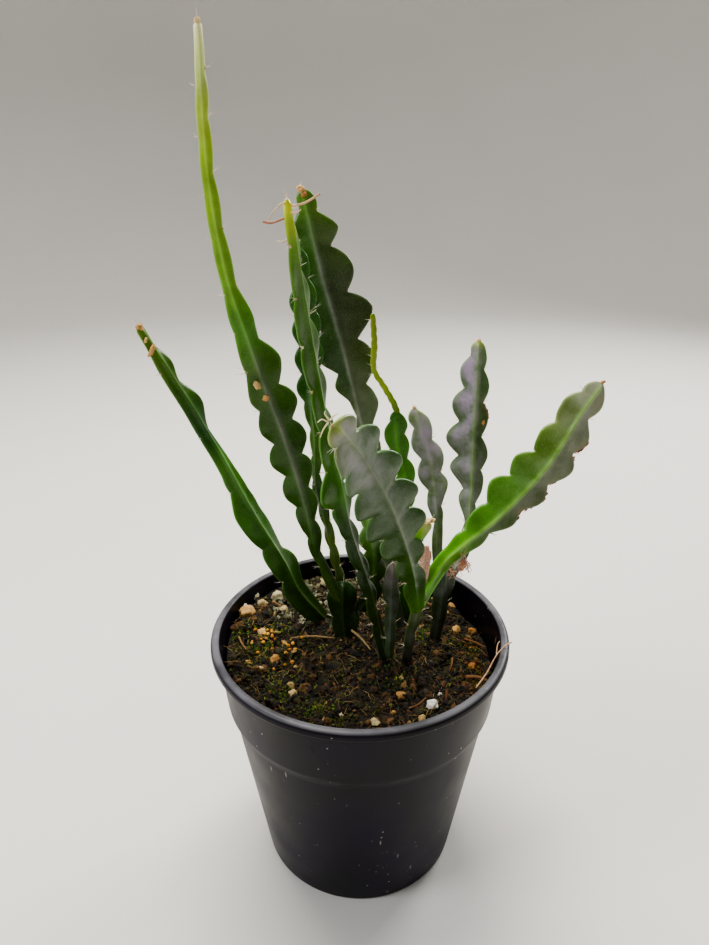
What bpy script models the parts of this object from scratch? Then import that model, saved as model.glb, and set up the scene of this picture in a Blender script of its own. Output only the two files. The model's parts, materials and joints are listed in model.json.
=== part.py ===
# A fishbone cactus in a round nursery pot: flat, fleshy stems with lobed edges stand in a bed of
# potting mix. The origin is the middle of the pot's underside, +Z is up, and -Y is the front.
import math
import random

import bmesh
import bpy
from mathutils import Matrix, Vector

MM = 0.001                      # every size below is in millimetres

# The pot: a moulded plastic pot with a straight collar under a thick rim
POT_HEIGHT = 93.0
RIM_RADIUS = 52.5
RIM_DEPTH = 3.2
RIM_INNER_RADIUS = 49.4
COLLAR_RADIUS = 50.2
COLLAR_FOOT_RADIUS = 48.0
COLLAR_FOOT_HEIGHT = 69.0
WALL_TOP_RADIUS = 46.4
WALL_TOP_HEIGHT = 66.5
BASE_RADIUS = 36.5
FOOT_ROUNDING = 1.2
WALL = 1.3
CHANNEL_INNER_RADIUS = 21.0     # the drainage channel is raised between these two radii
CHANNEL_OUTER_RADIUS = 33.0
CHANNEL_DEPTH = 2.0
CHANNEL_SLOPE = 1.0
DRAIN_HOLES = 8
DRAIN_HOLE_RADIUS = 3.0
POT_SEGMENTS = 44

# The potting mix: it fills the pot to about 11 mm under the rim, and climbs to the left wall
SOIL_LEVEL = 82.0
SOIL_TILT = 2.6                 # fall at the right wall; the left wall stands twice as deep in the mix
SOIL_RIPPLE = 0.7
SEAT_GAP = 0.35                 # clearance between the mix and what it touches
SOIL_SEGMENTS = 36
SOIL_RINGS = 6

# The stems: flat blades with a raised rib, and a spine on a woolly foot in every notch
ROOTED_DEPTH = 14.0
SOCKET_REACH = 7.0
RIB_SHARE = 0.2                 # half width of the rib, as a share of the blade's half width
RIB_THICKNESS = 3.4
SLENDEREST = 1.15               # a notch never cuts deeper than this half width
EDGE_THICKNESS = 1.1
ROWS_PER_LOBE = 4
CURVE_STEPS = 12
SPINE_LENGTH = 2.6
SPINE_WIDTH = 1.0
SPINE_SINK = 0.8
ROOTLET_WIDTH = 0.9

COLOURS = {                     # linear base colour, roughness and metallic value
    "pot_plastic": ((0.012, 0.011, 0.015, 1.0), 0.42, 0.0),
    "potting_mix": ((0.035, 0.026, 0.014, 1.0), 0.95, 0.0),
    "stem_green": ((0.045, 0.16, 0.02, 1.0), 0.38, 0.0),
    "stem_young": ((0.12, 0.26, 0.02, 1.0), 0.38, 0.0),
    "stem_grey": ((0.10, 0.17, 0.09, 1.0), 0.5, 0.0),
}


class Blade:
    """One stem: its guide runs through points in mm from the foot to the tip."""

    def __init__(self, guide, widths, facing=(0, 0), lobe=12.0, notch=0.55, notches=(6.0, 12.0), fold=0.0,
                 lean=10.0, thick=1.0, rooted=False, rootlets=()):
        self.guide = [Vector(point) for point in guide]
        self.widths = widths            # (share of the length, left half width, right half width) in mm
        self.facing = facing            # where the face looks at the foot and at the tip: 0 front, 90 right
        self.lobe = lobe                # length of one lobe
        self.notch = notch              # half width left in a notch, as a share of the lobe's
        self.notches = notches          # distance of the first notch on the left and on the right edge
        self.fold = fold                # how far both wings fold back from the rib, in degrees
        self.lean = lean                # how far the face looks up, in degrees
        self.thick = thick
        self.rooted = rooted
        self.rootlets = rootlets        # (distance from the tip, side, length in mm)


# Each plant node is one crown or stem, made of the blades that grow from each other
PLANT = {
    "stem_left": ("stem_green", [
        Blade([(-12, 16, 82), (-23, 11, 100), (-28, 8, 115), (-37, 4, 136), (-45, 0, 158), (-50, -2, 170),
               (-63, -10, 202)],
              [(0, 3, 3), (0.16, 5.6, 4.6), (0.28, 7, 6.6), (0.4, 7.6, 6), (0.47, 7.4, 4.4), (0.55, 4, 3.4),
               (0.65, 3, 3), (0.8, 3.8, 3.8), (1, 3.2, 3.2)],
              facing=(52, 60), lobe=30, notches=(38, 54), rooted=True),
    ]),
    "crown_left": ("stem_green", [
        Blade([(-5, 7, 82), (-6, 9, 92), (-6, 11, 105)], [(0, 3.6, 3.8), (0.45, 6, 6.5), (1, 6, 4.5)],
              lobe=16, notch=0.7, notches=(9, 13), rooted=True),
        Blade([(-6, 10, 94), (-12, 9, 109), (-15, 8, 118), (-19, 6, 140), (-24, 2, 163), (-29, -2, 182),
               (-33, -5, 198), (-37, -9, 216), (-39, -14, 242), (-38, -18, 274)],
              [(0, 2, 2), (0.12, 2, 2), (0.2, 3.6, 3.4), (0.27, 6, 4.8), (0.36, 7, 7), (0.46, 6.4, 7.8),
               (0.53, 4.6, 7.4), (0.6, 3.6, 3.8), (0.68, 2.3, 2.3), (0.9, 1.7, 1.7), (1, 1, 1)],
              facing=(8, 14), lobe=12.9, notches=(20, 26.5), fold=6),
        Blade([(-5, 12, 95), (-9, 13, 113), (-12, 13, 129), (-15, 13, 143), (-15, 13, 159), (-16, 13, 173),
               (-17, 13, 196), (-19, 13, 221)],
              [(0, 2, 2), (0.5, 2.1, 2.1), (0.58, 2.8, 2.8), (0.64, 4.8, 5.2), (0.85, 4.8, 4.6), (1, 2.6, 2.6)],
              facing=(-20, 0), lobe=9.3, notch=0.6, notches=(13.3, 15.5)),
        Blade([(0, 9, 94), (4, 8, 102), (5, 6, 115), (4, 4, 126), (2, 3, 138)],
              [(0, 2.6, 2.6), (0.3, 4, 4.4), (0.75, 4.6, 4.6), (1, 2.4, 2.4)],
              facing=(6, 10), lobe=10, notches=(9, 14)),
    ]),
    "crown_front": ("stem_young", [
        Blade([(8.7, -3, 82), (6, -7, 97), (3, -12, 115), (-1, -16, 131), (-4, -19, 143), (-7.5, -24, 164),
               (-11.5, -32, 191), (-14, -40, 213), (-15.5, -52, 237)],
              [(0, 2.2, 2.2), (0.3, 3, 3), (0.4, 3.4, 3.4), (0.48, 8, 5), (0.55, 4.4, 3.4), (0.62, 3.4, 3.4),
               (0.8, 4, 4), (0.93, 3.4, 3.4), (1, 2, 2)],
              facing=(38, 62), lobe=13.5, notches=(19.5, 26), lean=0, rooted=True,
              rootlets=((3, 1, 6.5), (4.5, -1, 4.6), (6.2, -1, 4.6), (11, -1, 2.4))),
        Blade([(10.5, -3, 82), (10.5, -7, 92), (10.5, -10, 105), (10.5, -13, 127)],
              [(0, 1.7, 1.7), (0.4, 2.1, 2.1), (0.75, 2.8, 2.8), (1, 2.4, 2.4)],
              facing=(4, 4), lobe=17, notch=0.7, notches=(12, 20), rooted=True),
    ]),
    "stem_broad": ("stem_green", [
        Blade([(15, 14, 82), (12, 14.5, 95), (8, 16, 119), (5, 19, 142), (0, 23, 164), (-6, 24, 188),
               (-12, 24, 210), (-18, 22, 237)],
              [(0, 3, 3), (0.3, 3.4, 3.4), (0.4, 3, 3.4), (0.5, 2.6, 5.4), (0.56, 2.6, 7.4), (0.61, 7, 9.4),
               (0.66, 9.6, 10), (0.75, 11, 13.4), (0.85, 9.6, 10), (0.94, 7.2, 7.4), (1, 2.8, 2.8)],
              facing=(0, 6), lobe=15.7, notch=0.5, notches=(21.5, 31.5), fold=6, lean=4, rooted=True),
    ]),
    "stem_whip": ("stem_green", [
        Blade([(18.5, 20.5, 82), (17, 20, 95), (16, 20, 125), (16, 20, 141), (13, 20, 153), (12, 20, 167)],
              [(0, 2.6, 2.6), (0.5, 3, 3), (0.7, 4, 4), (0.92, 4.4, 4.4), (1, 2.4, 2.4)],
              facing=(-4, 4), lobe=10, notch=0.62, notches=(12, 17), rooted=True),
        Blade([(12, 20, 163), (12, 20, 168), (8, 19.5, 175.5), (4.4, 18, 182), (4.4, 16.5, 191), (3.7, 15, 201)],
              [(0, 1.2, 1.2), (1, 1, 1)], facing=(0, 20), lobe=8, notch=0.8, notches=(6, 10), thick=0.7),
    ]),
    "crown_right": ("stem_young", [
        Blade([(16.5, -5, 82), (17, -12, 98), (18.6, -16, 111), (19.4, -17, 119)],
              [(0, 2, 2), (0.6, 2.3, 2.3), (1, 2.4, 2.4)],
              facing=(20, 20), lobe=12, notch=0.8, notches=(12, 18), rooted=True),
        Blade([(18.5, -17, 112), (15, -26, 133), (9, -38, 156), (2, -50, 175), (-6, -68, 193)],
              [(0, 2.6, 2.6), (0.2, 4.6, 4.6), (0.5, 9.6, 9.6), (0.8, 8.8, 8.8), (1, 4.5, 4.5)],
              facing=(6, 0), lobe=13, notch=0.5, notches=(16, 22.5), lean=36,
              rootlets=((0.8, 1, 2.8), (1.2, -1, 3), (1.8, -1, 2.8), (2.4, 1, 2.4))),
        Blade([(19, -17, 114), (26, -10, 123.5), (33, -6, 129), (44.5, -3, 138), (57, 1, 150.5),
               (63.5, 3, 160), (70, 6, 171), (76.5, 8, 180.5)],
              [(0, 2.2, 2.2), (0.2, 3, 3), (0.36, 6.6, 4.6), (0.5, 10, 7), (0.62, 9.8, 8.6), (0.74, 8, 10),
               (0.88, 6.8, 6.8), (1, 4, 4)],
              facing=(8, 14), lobe=12, notch=0.62, notches=(27.5, 33.5), fold=14, lean=20),
        Blade([(12, -28, 136), (16, -27.5, 142), (20, -27, 149)], [(0, 2, 2), (1, 1.8, 1.8)],
              facing=(10, 10), lobe=20, notch=0.8, notches=(30, 9)),
    ]),
    "crown_back": ("stem_grey", [
        Blade([(28, 8, 82), (29.5, 8, 99), (30.5, 9.5, 113)],
              [(0, 2.2, 2.2), (0.5, 3.4, 3.4), (0.85, 4.2, 4.4), (1, 3.4, 3.4)],
              facing=(12, 12), lobe=14, notch=0.75, notches=(9, 16), rooted=True),
        Blade([(29.5, 9, 103), (28, 14, 115), (28, 18, 124), (27, 23, 136), (24.6, 27, 148), (19, 30, 165)],
              [(0, 1.8, 1.8), (0.35, 1.8, 1.8), (0.48, 3, 3.4), (0.6, 4, 4.8), (0.75, 5, 5), (0.92, 4, 3.8),
               (1, 2.2, 2.2)],
              facing=(0, -6), lobe=12, notch=0.6, notches=(24, 30)),
        Blade([(31.5, 9.5, 106), (35, 11, 112), (38, 14, 118.5), (40, 22, 136.5), (40.4, 27, 153),
               (40.5, 29, 164), (40.3, 30, 189)],
              [(0, 1.8, 1.8), (0.26, 2.2, 2.2), (0.4, 5.2, 4), (0.5, 8.4, 5.6), (0.6, 9.4, 5), (0.75, 8, 4.8),
               (0.88, 5.8, 4.2), (1, 2.6, 2.2)],
              facing=(-6, -6), lobe=12, notch=0.55, notches=(23, 30), fold=14),
    ]),
}

# Grains that stand out of the mix, as (x, y, radius)
GRAINS = [(-43, 15, 3.0), (-38, 22, 2.2), (-33, 28, 2.4), (-24, 30, 1.9), (-30, 20, 2.0), (-14, 40, 2.3),
          (-8, 34, 2.0), (33, 24, 2.2), (30, 17, 2.0), (37, 15, 1.8), (24, -26, 1.9), (-22, -24, 1.7),
          (5, -34, 1.5), (20, -33, 1.5), (-30, -8, 1.9), (40, -6, 1.6), (14, -22, 1.5), (-36, 6, 1.8)]


def clear_scene():
    for thing in list(bpy.data.objects):
        bpy.data.objects.remove(thing)


def material(name):
    made = bpy.data.materials.get(name) or bpy.data.materials.new(name)
    made.use_nodes = True
    shader = made.node_tree.nodes["Principled BSDF"]
    colour, roughness, metallic = COLOURS[name]
    shader.inputs["Base Color"].default_value = colour
    shader.inputs["Roughness"].default_value = roughness
    shader.inputs["Metallic"].default_value = metallic
    return made


def add_object(name, bm, finish):
    """Turns a bmesh in millimetres into an object in metres."""
    bmesh.ops.recalc_face_normals(bm, faces=bm.faces)
    bmesh.ops.scale(bm, vec=(MM, MM, MM), verts=bm.verts)
    mesh = bpy.data.meshes.new(name)
    bm.to_mesh(mesh)
    bm.free()
    mesh.materials.append(material(finish))
    made = bpy.data.objects.new(name, mesh)
    bpy.context.scene.collection.objects.link(made)
    return made


def boolean(target, others, operation):
    """Joins or cuts the target with all the others at once, and removes them."""
    group = bpy.data.collections.new("boolean_parts")
    for other in others:
        group.objects.link(other)
    modifier = target.modifiers.new(operation, "BOOLEAN")
    modifier.operation = operation
    modifier.operand_type = "COLLECTION"
    modifier.collection = group
    modifier.solver = "EXACT"
    depsgraph = bpy.context.evaluated_depsgraph_get()
    result = bpy.data.meshes.new_from_object(target.evaluated_get(depsgraph))
    target.modifiers.clear()
    target.data = result
    for other in others:
        bpy.data.objects.remove(other)
    bpy.data.collections.remove(group)


def join_rings(bm, lower, upper):
    """Closes the band between two rings, either of which may be a single point."""
    if len(lower) == 1 or len(upper) == 1:
        ring, point = (lower, upper[0]) if len(upper) == 1 else (upper, lower[0])
        for one, two in zip(ring, ring[1:] + ring[:1]):
            bm.faces.new((one, two, point))
        return
    count = len(lower)
    for i in range(count):
        j = (i + 1) % count
        bm.faces.new((lower[i], lower[j], upper[j], upper[i]))


def turned_body(name, profile, segments, finish):
    """A closed body round Z. The profile runs from the pole below to the pole above; a height may be a rule."""
    bm = bmesh.new()
    rings = []
    for radius, height in profile:
        rule = height if callable(height) else (lambda x, y, z=height: z)
        if radius == 0:
            rings.append([bm.verts.new((0, 0, rule(0, 0)))])
            continue
        corners = [(radius * math.cos(a), radius * math.sin(a))
                   for a in (2 * math.pi * k / segments for k in range(segments))]
        rings.append([bm.verts.new((x, y, rule(x, y))) for x, y in corners])
    for lower, upper in zip(rings, rings[1:]):
        join_rings(bm, lower, upper)
    return add_object(name, bm, finish)


def floor_profile(lift):
    """The pot's floor from its middle outwards, with the raised drainage channel."""
    return [(0, lift), (CHANNEL_INNER_RADIUS, lift),
            (CHANNEL_INNER_RADIUS + CHANNEL_SLOPE, lift + CHANNEL_DEPTH),
            (CHANNEL_OUTER_RADIUS, lift + CHANNEL_DEPTH),
            (CHANNEL_OUTER_RADIUS + CHANNEL_SLOPE, lift)]


def make_pot():
    top = POT_HEIGHT
    outside = [(BASE_RADIUS - FOOT_ROUNDING, 0), (BASE_RADIUS, FOOT_ROUNDING),
               (WALL_TOP_RADIUS, WALL_TOP_HEIGHT), (COLLAR_FOOT_RADIUS, COLLAR_FOOT_HEIGHT),
               (COLLAR_RADIUS, top - RIM_DEPTH), (RIM_RADIUS - 0.3, top - RIM_DEPTH + 0.2),
               (RIM_RADIUS, top - RIM_DEPTH / 2), (RIM_RADIUS - 0.8, top),
               (RIM_INNER_RADIUS + 0.4, top), (RIM_INNER_RADIUS, top - 0.8)]
    inside = [(COLLAR_RADIUS - WALL, top - RIM_DEPTH), (COLLAR_FOOT_RADIUS - WALL, COLLAR_FOOT_HEIGHT),
              (WALL_TOP_RADIUS - WALL, WALL_TOP_HEIGHT), (BASE_RADIUS - WALL, WALL)]
    profile = floor_profile(0) + outside + inside + list(reversed(floor_profile(WALL)))
    pot = turned_body("pot", profile, POT_SEGMENTS, "pot_plastic")
    drains = []
    for k in range(DRAIN_HOLES):
        turn = Matrix.Rotation(2 * math.pi * (k + 0.5) / DRAIN_HOLES, 4, "Z")
        bm = bmesh.new()
        middle = (CHANNEL_INNER_RADIUS + CHANNEL_OUTER_RADIUS + CHANNEL_SLOPE) / 2
        place = turn @ Matrix.Translation((middle, 0, CHANNEL_DEPTH))
        bmesh.ops.create_cone(bm, cap_ends=True, segments=10, radius1=DRAIN_HOLE_RADIUS,
                              radius2=DRAIN_HOLE_RADIUS, depth=4 * WALL, matrix=place)
        drains.append(add_object(f"drain_{k}", bm, "pot_plastic"))
    boolean(pot, drains, "DIFFERENCE")
    return pot


def soil_height(x, y):
    """The surface of the mix: it climbs to the left wall, with a low mound round the stems and small hollows."""
    climb = (-0.9 * x + 0.44 * y) / 47
    rise = SOIL_TILT * (climb + max(0.0, climb) ** 2)
    mound = 1.2 * math.exp(-((x - 6) ** 2 + (y - 4) ** 2) / 420)
    ripple = SOIL_RIPPLE * (math.sin(0.21 * x + 0.9) * math.cos(0.26 * y - 0.4) + 0.6 * math.sin(0.47 * x - 0.39 * y))
    return SOIL_LEVEL + rise + mound + ripple


def grain(centre, radius, draw):
    """A faceted grain of perlite or grit, a little squashed and turned."""
    bm = bmesh.new()
    bmesh.ops.create_icosphere(bm, subdivisions=1, radius=radius)
    size = Matrix.Diagonal((draw.uniform(0.8, 1.25), draw.uniform(0.8, 1.1), draw.uniform(0.6, 0.85), 1))
    turn = Matrix.Rotation(draw.uniform(0, math.pi), 4, "Z") @ Matrix.Rotation(draw.uniform(0, 0.6), 4, "X")
    bmesh.ops.transform(bm, matrix=Matrix.Translation(centre) @ turn @ size, verts=bm.verts)
    return add_object("grain", bm, "potting_mix")


def make_soil():
    wall_radius = COLLAR_RADIUS - WALL - SEAT_GAP
    collar_foot = COLLAR_FOOT_RADIUS - WALL - SEAT_GAP
    profile = floor_profile(WALL + SEAT_GAP)
    profile += [(BASE_RADIUS - WALL - SEAT_GAP, WALL + SEAT_GAP),
                (WALL_TOP_RADIUS - WALL - SEAT_GAP, WALL_TOP_HEIGHT + SEAT_GAP),
                (collar_foot, COLLAR_FOOT_HEIGHT + SEAT_GAP)]
    rise = (SOIL_LEVEL - 4 - COLLAR_FOOT_HEIGHT) / (POT_HEIGHT - RIM_DEPTH - COLLAR_FOOT_HEIGHT)
    edge_radius = collar_foot + (wall_radius - collar_foot) * rise
    profile += [(edge_radius * k / SOIL_RINGS, soil_height) for k in range(SOIL_RINGS, -1, -1)]
    soil = turned_body("potting_mix", profile, SOIL_SEGMENTS, "potting_mix")
    draw = random.Random(5)
    grains = [grain((x, y, soil_height(x, y) + 0.25 * radius), radius, draw) for x, y, radius in GRAINS]
    boolean(soil, grains, "UNION")
    return soil


def smooth_curve(points):
    """A Catmull-Rom curve through the points, as (distance, place) pairs."""
    ends = [points[0] * 2 - points[1], *points, points[-1] * 2 - points[-2]]
    places = []
    for a, b, c, d in zip(ends, ends[1:], ends[2:], ends[3:]):
        for step in range(CURVE_STEPS):
            t = step / CURVE_STEPS
            places.append(0.5 * (2 * b + (c - a) * t + (2 * a - 5 * b + 4 * c - d) * t ** 2
                                 + (3 * b - a - 3 * c + d) * t ** 3))
    places.append(points[-1])
    travelled = [0.0]
    for one, two in zip(places, places[1:]):
        travelled.append(travelled[-1] + (two - one).length)
    return list(zip(travelled, places))


def along(curve, distance):
    """Place and direction at a distance along the curve; before its start the curve runs on straight."""
    if distance <= 0:
        direction = (curve[1][1] - curve[0][1]).normalized()
        return curve[0][1] + direction * distance, direction
    for (near, one), (far, two) in zip(curve, curve[1:]):
        if distance <= far:
            return one.lerp(two, (distance - near) / (far - near)), (two - one).normalized()
    return curve[-1][1], (curve[-1][1] - curve[-2][1]).normalized()


def stepped(rows, share, column):
    """Reads one column of (share, left, right) rows, eased between them."""
    if share <= rows[0][0]:
        return rows[0][column]
    for one, two in zip(rows, rows[1:]):
        if share <= two[0]:
            t = (share - one[0]) / (two[0] - one[0])
            return one[column] + (two[column] - one[column]) * t * t * (3 - 2 * t)
    return rows[-1][column]


def lobe_shape(phase):
    """0 in a notch and 1 on a lobe: a long slope away from the foot and a steep shoulder towards the tip."""
    return max(0.0, math.sin(math.pi * (phase % 1.0) ** 1.35)) ** 0.62


def half_width(blade, length, distance, side):
    """Half width of the left edge (side -1) or of the right edge (side 1)."""
    column = 1 if side < 0 else 2
    wide = stepped(blade.widths, max(0.0, distance / length), column)
    start = blade.notches[column - 1]
    lobes = lobe_shape((distance - start) / blade.lobe) if distance >= start else 1.0
    tip = min(1.0, (length - distance) / (1.1 * blade.widths[-1][column]))
    rounding = math.sqrt(max(0.0, 1 - (1 - tip) ** 2))
    notched = max(wide * (blade.notch + (1 - blade.notch) * lobes), min(wide, SLENDEREST * blade.thick))
    return notched * max(0.22, rounding)


def face_axes(blade, direction, share):
    """The blade's width direction and the way its face looks, square to its own direction."""
    turn = math.radians(blade.facing[0] + (blade.facing[1] - blade.facing[0]) * share)
    look = Vector((math.sin(turn), -math.cos(turn), math.tan(math.radians(blade.lean))))
    look = (look - direction * look.dot(direction)).normalized()
    return direction.cross(look).normalized(), look


def blade_rows(blade, length):
    """Distances of the rows along a blade: every notch of both edges has a row of its own or one close by."""
    rows = [-ROOTED_DEPTH, 0.0] if blade.rooted else [0.0]
    step = blade.lobe / ROWS_PER_LOBE
    start = blade.notches[0] % step
    last = blade.widths[-1][1]
    while start < length - 0.9 * last:
        if start > 0.3 * step:
            rows.append(start)
        start += step
    return rows + [length - 0.5 * last, length - 0.12 * last, length]


def make_blade(name, blade, finish, grow=0.0, reach=None):
    """Sweeps the blade's section along its guide. The section has two blunt edges and a flat rib."""
    curve = smooth_curve(blade.guide)
    length = curve[-1][0]
    bm = bmesh.new()
    rings = []
    rows = blade_rows(blade, length) if reach is None else [-ROOTED_DEPTH - grow, 0.0, reach]
    for distance in rows:
        place, direction = along(curve, distance)
        across, look = face_axes(blade, direction, max(0.0, distance / length))
        left = half_width(blade, length, distance, -1) + grow
        right = half_width(blade, length, distance, 1) + grow
        back = math.tan(math.radians(blade.fold))
        rib = 0.5 * RIB_THICKNESS * blade.thick * min(1.0, 0.35 + 0.65 * (left + right) / 8) + grow
        edge = min(0.5 * EDGE_THICKNESS * blade.thick + grow, rib)
        section = [(-left, edge), (-RIB_SHARE * left, rib), (RIB_SHARE * right, rib), (right, edge),
                   (right, -edge), (RIB_SHARE * right, -rib), (-RIB_SHARE * left, -rib), (-left, -edge)]
        rings.append([bm.verts.new(place + across * x + look * (y - abs(x) * back)) for x, y in section])
    for lower, upper in zip(rings, rings[1:]):
        join_rings(bm, lower, upper)
    bm.faces.new(rings[0])
    bm.faces.new(rings[-1])
    bmesh.ops.triangulate(bm, faces=bm.faces)
    return add_object(name, bm, finish)


def needle(place, direction, bend, length, width, finish):
    """A three-sided spine or rootlet that tapers to a point, with its root sunk in what it grows from."""
    bm = bmesh.new()
    side = direction.cross(bend).normalized()
    other = direction.cross(side).normalized()
    rows = [(-SPINE_SINK, 1.0), (0.55 * length, 0.75)] if length > 1.4 * SPINE_LENGTH else [(-SPINE_SINK, 1.0)]
    rings = []
    for distance, size in rows:
        middle = place + direction * distance + bend * 0.15 * max(0.0, distance)
        rings.append([bm.verts.new(middle + (side * math.cos(a) + other * math.sin(a)) * 0.5 * width * size)
                      for a in (0, 2.094, 4.189)])
    rings.append([bm.verts.new(place + direction * length + bend * 0.3 * length)])
    for lower, upper in zip(rings, rings[1:]):
        join_rings(bm, lower, upper)
    bm.faces.new(rings[0])
    return add_object("needle", bm, finish)


def needles_of(blade, finish, draw):
    """A spine in every notch that stands clear above the ground, one at the tip, and the tip's rootlets."""
    curve = smooth_curve(blade.guide)
    length = curve[-1][0]
    grown = []
    for side in (-1, 1):
        distance = blade.notches[0 if side < 0 else 1]
        while distance < length - 0.8 * blade.widths[-1][1]:
            place, direction = along(curve, distance)
            across, look = face_axes(blade, direction, distance / length)
            wide = half_width(blade, length, distance, side)
            notch = place + across * side * (wide - 0.1) - look * wide * math.tan(math.radians(blade.fold))
            aim = (across * side + direction * draw.uniform(0.2, 0.8) + look * draw.uniform(-0.4, 0.4)).normalized()
            grown.append(needle(notch, aim, look, SPINE_LENGTH * draw.uniform(0.75, 1.2), SPINE_WIDTH, finish))
            distance += blade.lobe
    place, direction = along(curve, length)
    across, look = face_axes(blade, direction, 1.0)
    grown.append(needle(place - direction * 0.3, (direction + across * 0.2).normalized(), look, SPINE_LENGTH,
                        SPINE_WIDTH, finish))
    for from_tip, side, reach in blade.rootlets:
        place, direction = along(curve, length - from_tip)
        aim = (across * side + look * draw.uniform(0.2, 0.7)).normalized()
        grown.append(needle(place, aim, direction, reach, ROOTLET_WIDTH, finish))
    return grown


def make_stems(soil):
    """Builds every crown and stem, and cuts the plain holes that the rooted ones stand in."""
    draw = random.Random(12)
    sockets = []
    for name, (finish, blades) in PLANT.items():
        main = make_blade(name, blades[0], finish)
        others = [make_blade(f"{name}_branch", blade, finish) for blade in blades[1:]]
        for blade in blades:
            others += needles_of(blade, finish, draw)
            if blade.rooted:
                sockets.append(make_blade("socket", blade, "potting_mix", grow=SEAT_GAP, reach=SOCKET_REACH))
        boolean(main, others, "UNION")
    boolean(soil, sockets, "DIFFERENCE")


def main():
    clear_scene()
    make_pot()
    soil = make_soil()
    make_stems(soil)


main()
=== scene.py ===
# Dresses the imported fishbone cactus: a finely turned pot, a bed of loose potting mix, and stems with
# ribs, wavy lobed margins, areoles, spines and dry scars. Sizes and places in the tables are in
# millimetres. The values that a user would change are in metres.
import json
import math
import random

import bmesh
import bpy
from mathutils import Matrix, Vector, noise

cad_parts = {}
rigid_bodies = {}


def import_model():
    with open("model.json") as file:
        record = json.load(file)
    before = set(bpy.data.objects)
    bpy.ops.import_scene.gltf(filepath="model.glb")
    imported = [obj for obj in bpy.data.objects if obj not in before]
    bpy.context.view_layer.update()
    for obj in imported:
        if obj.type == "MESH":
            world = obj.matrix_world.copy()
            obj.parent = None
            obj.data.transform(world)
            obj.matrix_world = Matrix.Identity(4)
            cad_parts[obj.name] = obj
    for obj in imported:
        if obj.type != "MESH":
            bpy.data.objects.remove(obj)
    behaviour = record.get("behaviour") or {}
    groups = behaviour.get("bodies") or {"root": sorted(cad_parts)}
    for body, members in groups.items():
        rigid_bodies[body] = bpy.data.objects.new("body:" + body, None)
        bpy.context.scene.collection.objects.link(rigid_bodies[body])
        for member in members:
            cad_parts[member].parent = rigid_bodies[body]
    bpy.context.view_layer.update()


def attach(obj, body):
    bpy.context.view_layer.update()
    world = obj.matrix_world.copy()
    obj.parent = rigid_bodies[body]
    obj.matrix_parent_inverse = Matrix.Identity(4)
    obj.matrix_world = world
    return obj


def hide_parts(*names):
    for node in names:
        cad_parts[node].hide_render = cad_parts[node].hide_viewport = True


bl_info = {
    "name": "Fishbone Cactus",
    "version": (1, 0, 0),
    "blender": (4, 5, 0),
    "location": "3D View > Sidebar > Cactus",
    "description": "Builds the visible pieces of a potted fishbone cactus round its packed solids",
    "category": "Object",
}

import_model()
MM = 0.001
BODY = "root"


def linear(code):
    """An sRGB hex colour as linear RGBA."""
    channels = [int(code[i:i + 2], 16) / 255 for i in (0, 2, 4)]
    return tuple(c / 12.92 if c <= 0.04045 else ((c + 0.055) / 1.055) ** 2.4 for c in channels) + (1.0,)


# The pot, in millimetres, as its solid has it
POT_HEIGHT = 93.0
RIM_RADIUS = 52.5
RIM_DEPTH = 3.2
RIM_INNER_RADIUS = 49.4
RIM_EDGE = 0.8                  # rounding under the rim's outer edge
RIM_LIP = 0.9                   # rounding on its inner edge
RIM_DRAFT = 0.05                # how much higher the rim's underside is at its edge
COLLAR_RADIUS = 50.2
COLLAR_FOOT_RADIUS = 48.0
COLLAR_FOOT_HEIGHT = 69.0
WALL_TOP_RADIUS = 46.4
WALL_TOP_HEIGHT = 66.5
BASE_RADIUS = 36.5
BASE_CORNER = 1.2
WALL = 1.3
CHANNEL_INNER_RADIUS = 21.0
CHANNEL_OUTER_RADIUS = 33.0
CHANNEL_DEPTH = 2.0
CHANNEL_SLOPE = 1.0
DRAIN_HOLES = 8
DRAIN_HOLE_RADIUS = 3.0

# The potting mix climbs towards its highest point at the wall and bulges round the stems
SOIL_LEVEL = 82.0
SOIL_TILT = 2.6
SOIL_RIPPLE = 0.7
CLIMB_WAY = (-0.9, 0.44)        # which way it climbs
CLIMB_REACH = 47.0
MOUND_HEIGHT = 1.2
MOUND_PLACE = (6.0, 4.0)
MOUND_SPREAD = 420.0
SEAT_GAP = 0.35
BED_SEGMENTS = 200
BED_RINGS = 58

# The stems
ROOTED_DEPTH = 14.0
RIB_THICKNESS = 3.4
SLENDEREST = 1.15
EDGE_THICKNESS = 1.1
FULL_RIB_WIDTH = 8.0            # width from which a stem has its full rib
RIB_SPREAD = 0.7                # half width of the raised ridge on the rib
WING_BLEND = 1.6                # half width over which the two wings' colours mix
MARGIN_ROUNDING = 0.9           # how far in from the margin it rounds off
MARGIN_LINE = 0.35              # width of the pale line along the margin
TIP_ROUNDING = 2.0              # how far before the tip it rounds off
TIP_LENGTH = 3.0                # the last stretch, where the rows of faces lie closer
TIP_ROWS = 9
DENT_DEPTH = 0.1                # soft dents all over the skin
DENT_WIDTH = 2.4
DENT_LENGTH = 3.2
SLOW_WAVE = 0.5                 # slow wave that bends the wings from one lobe to the next
SLOW_WAVE_LENGTH = 17.0
WAVE_FULL_WIDTH = 7.0           # half width from which the lobes wave fully
WAVE_TIP = 8.0                  # stretch before the tip over which they stop waving
SLOW_FULL_WIDTH = 6.0
RIB_LIGHTER = 1.9               # how much lighter than its skin a rib is
RIB_FADE = 0.12                 # share of the length over which a rib's own colour comes and goes
CORK_LENGTH = 0.035             # share of the length that a corky spot takes up
CORK_DEPTH = 0.7
CURVE_STEPS = 24
SPINE_STEPS = 4
SPINES_TO_AN_AREOLE = 5
SMALLEST_TUFT = 0.36            # half size of a tuft of wool
LARGEST_TUFT = 0.56
CORK_CRUSTS = 12                # crusts on each corky spot
HAIR_FOOT = 0.13
HAIR_TIP = 0.06


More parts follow.
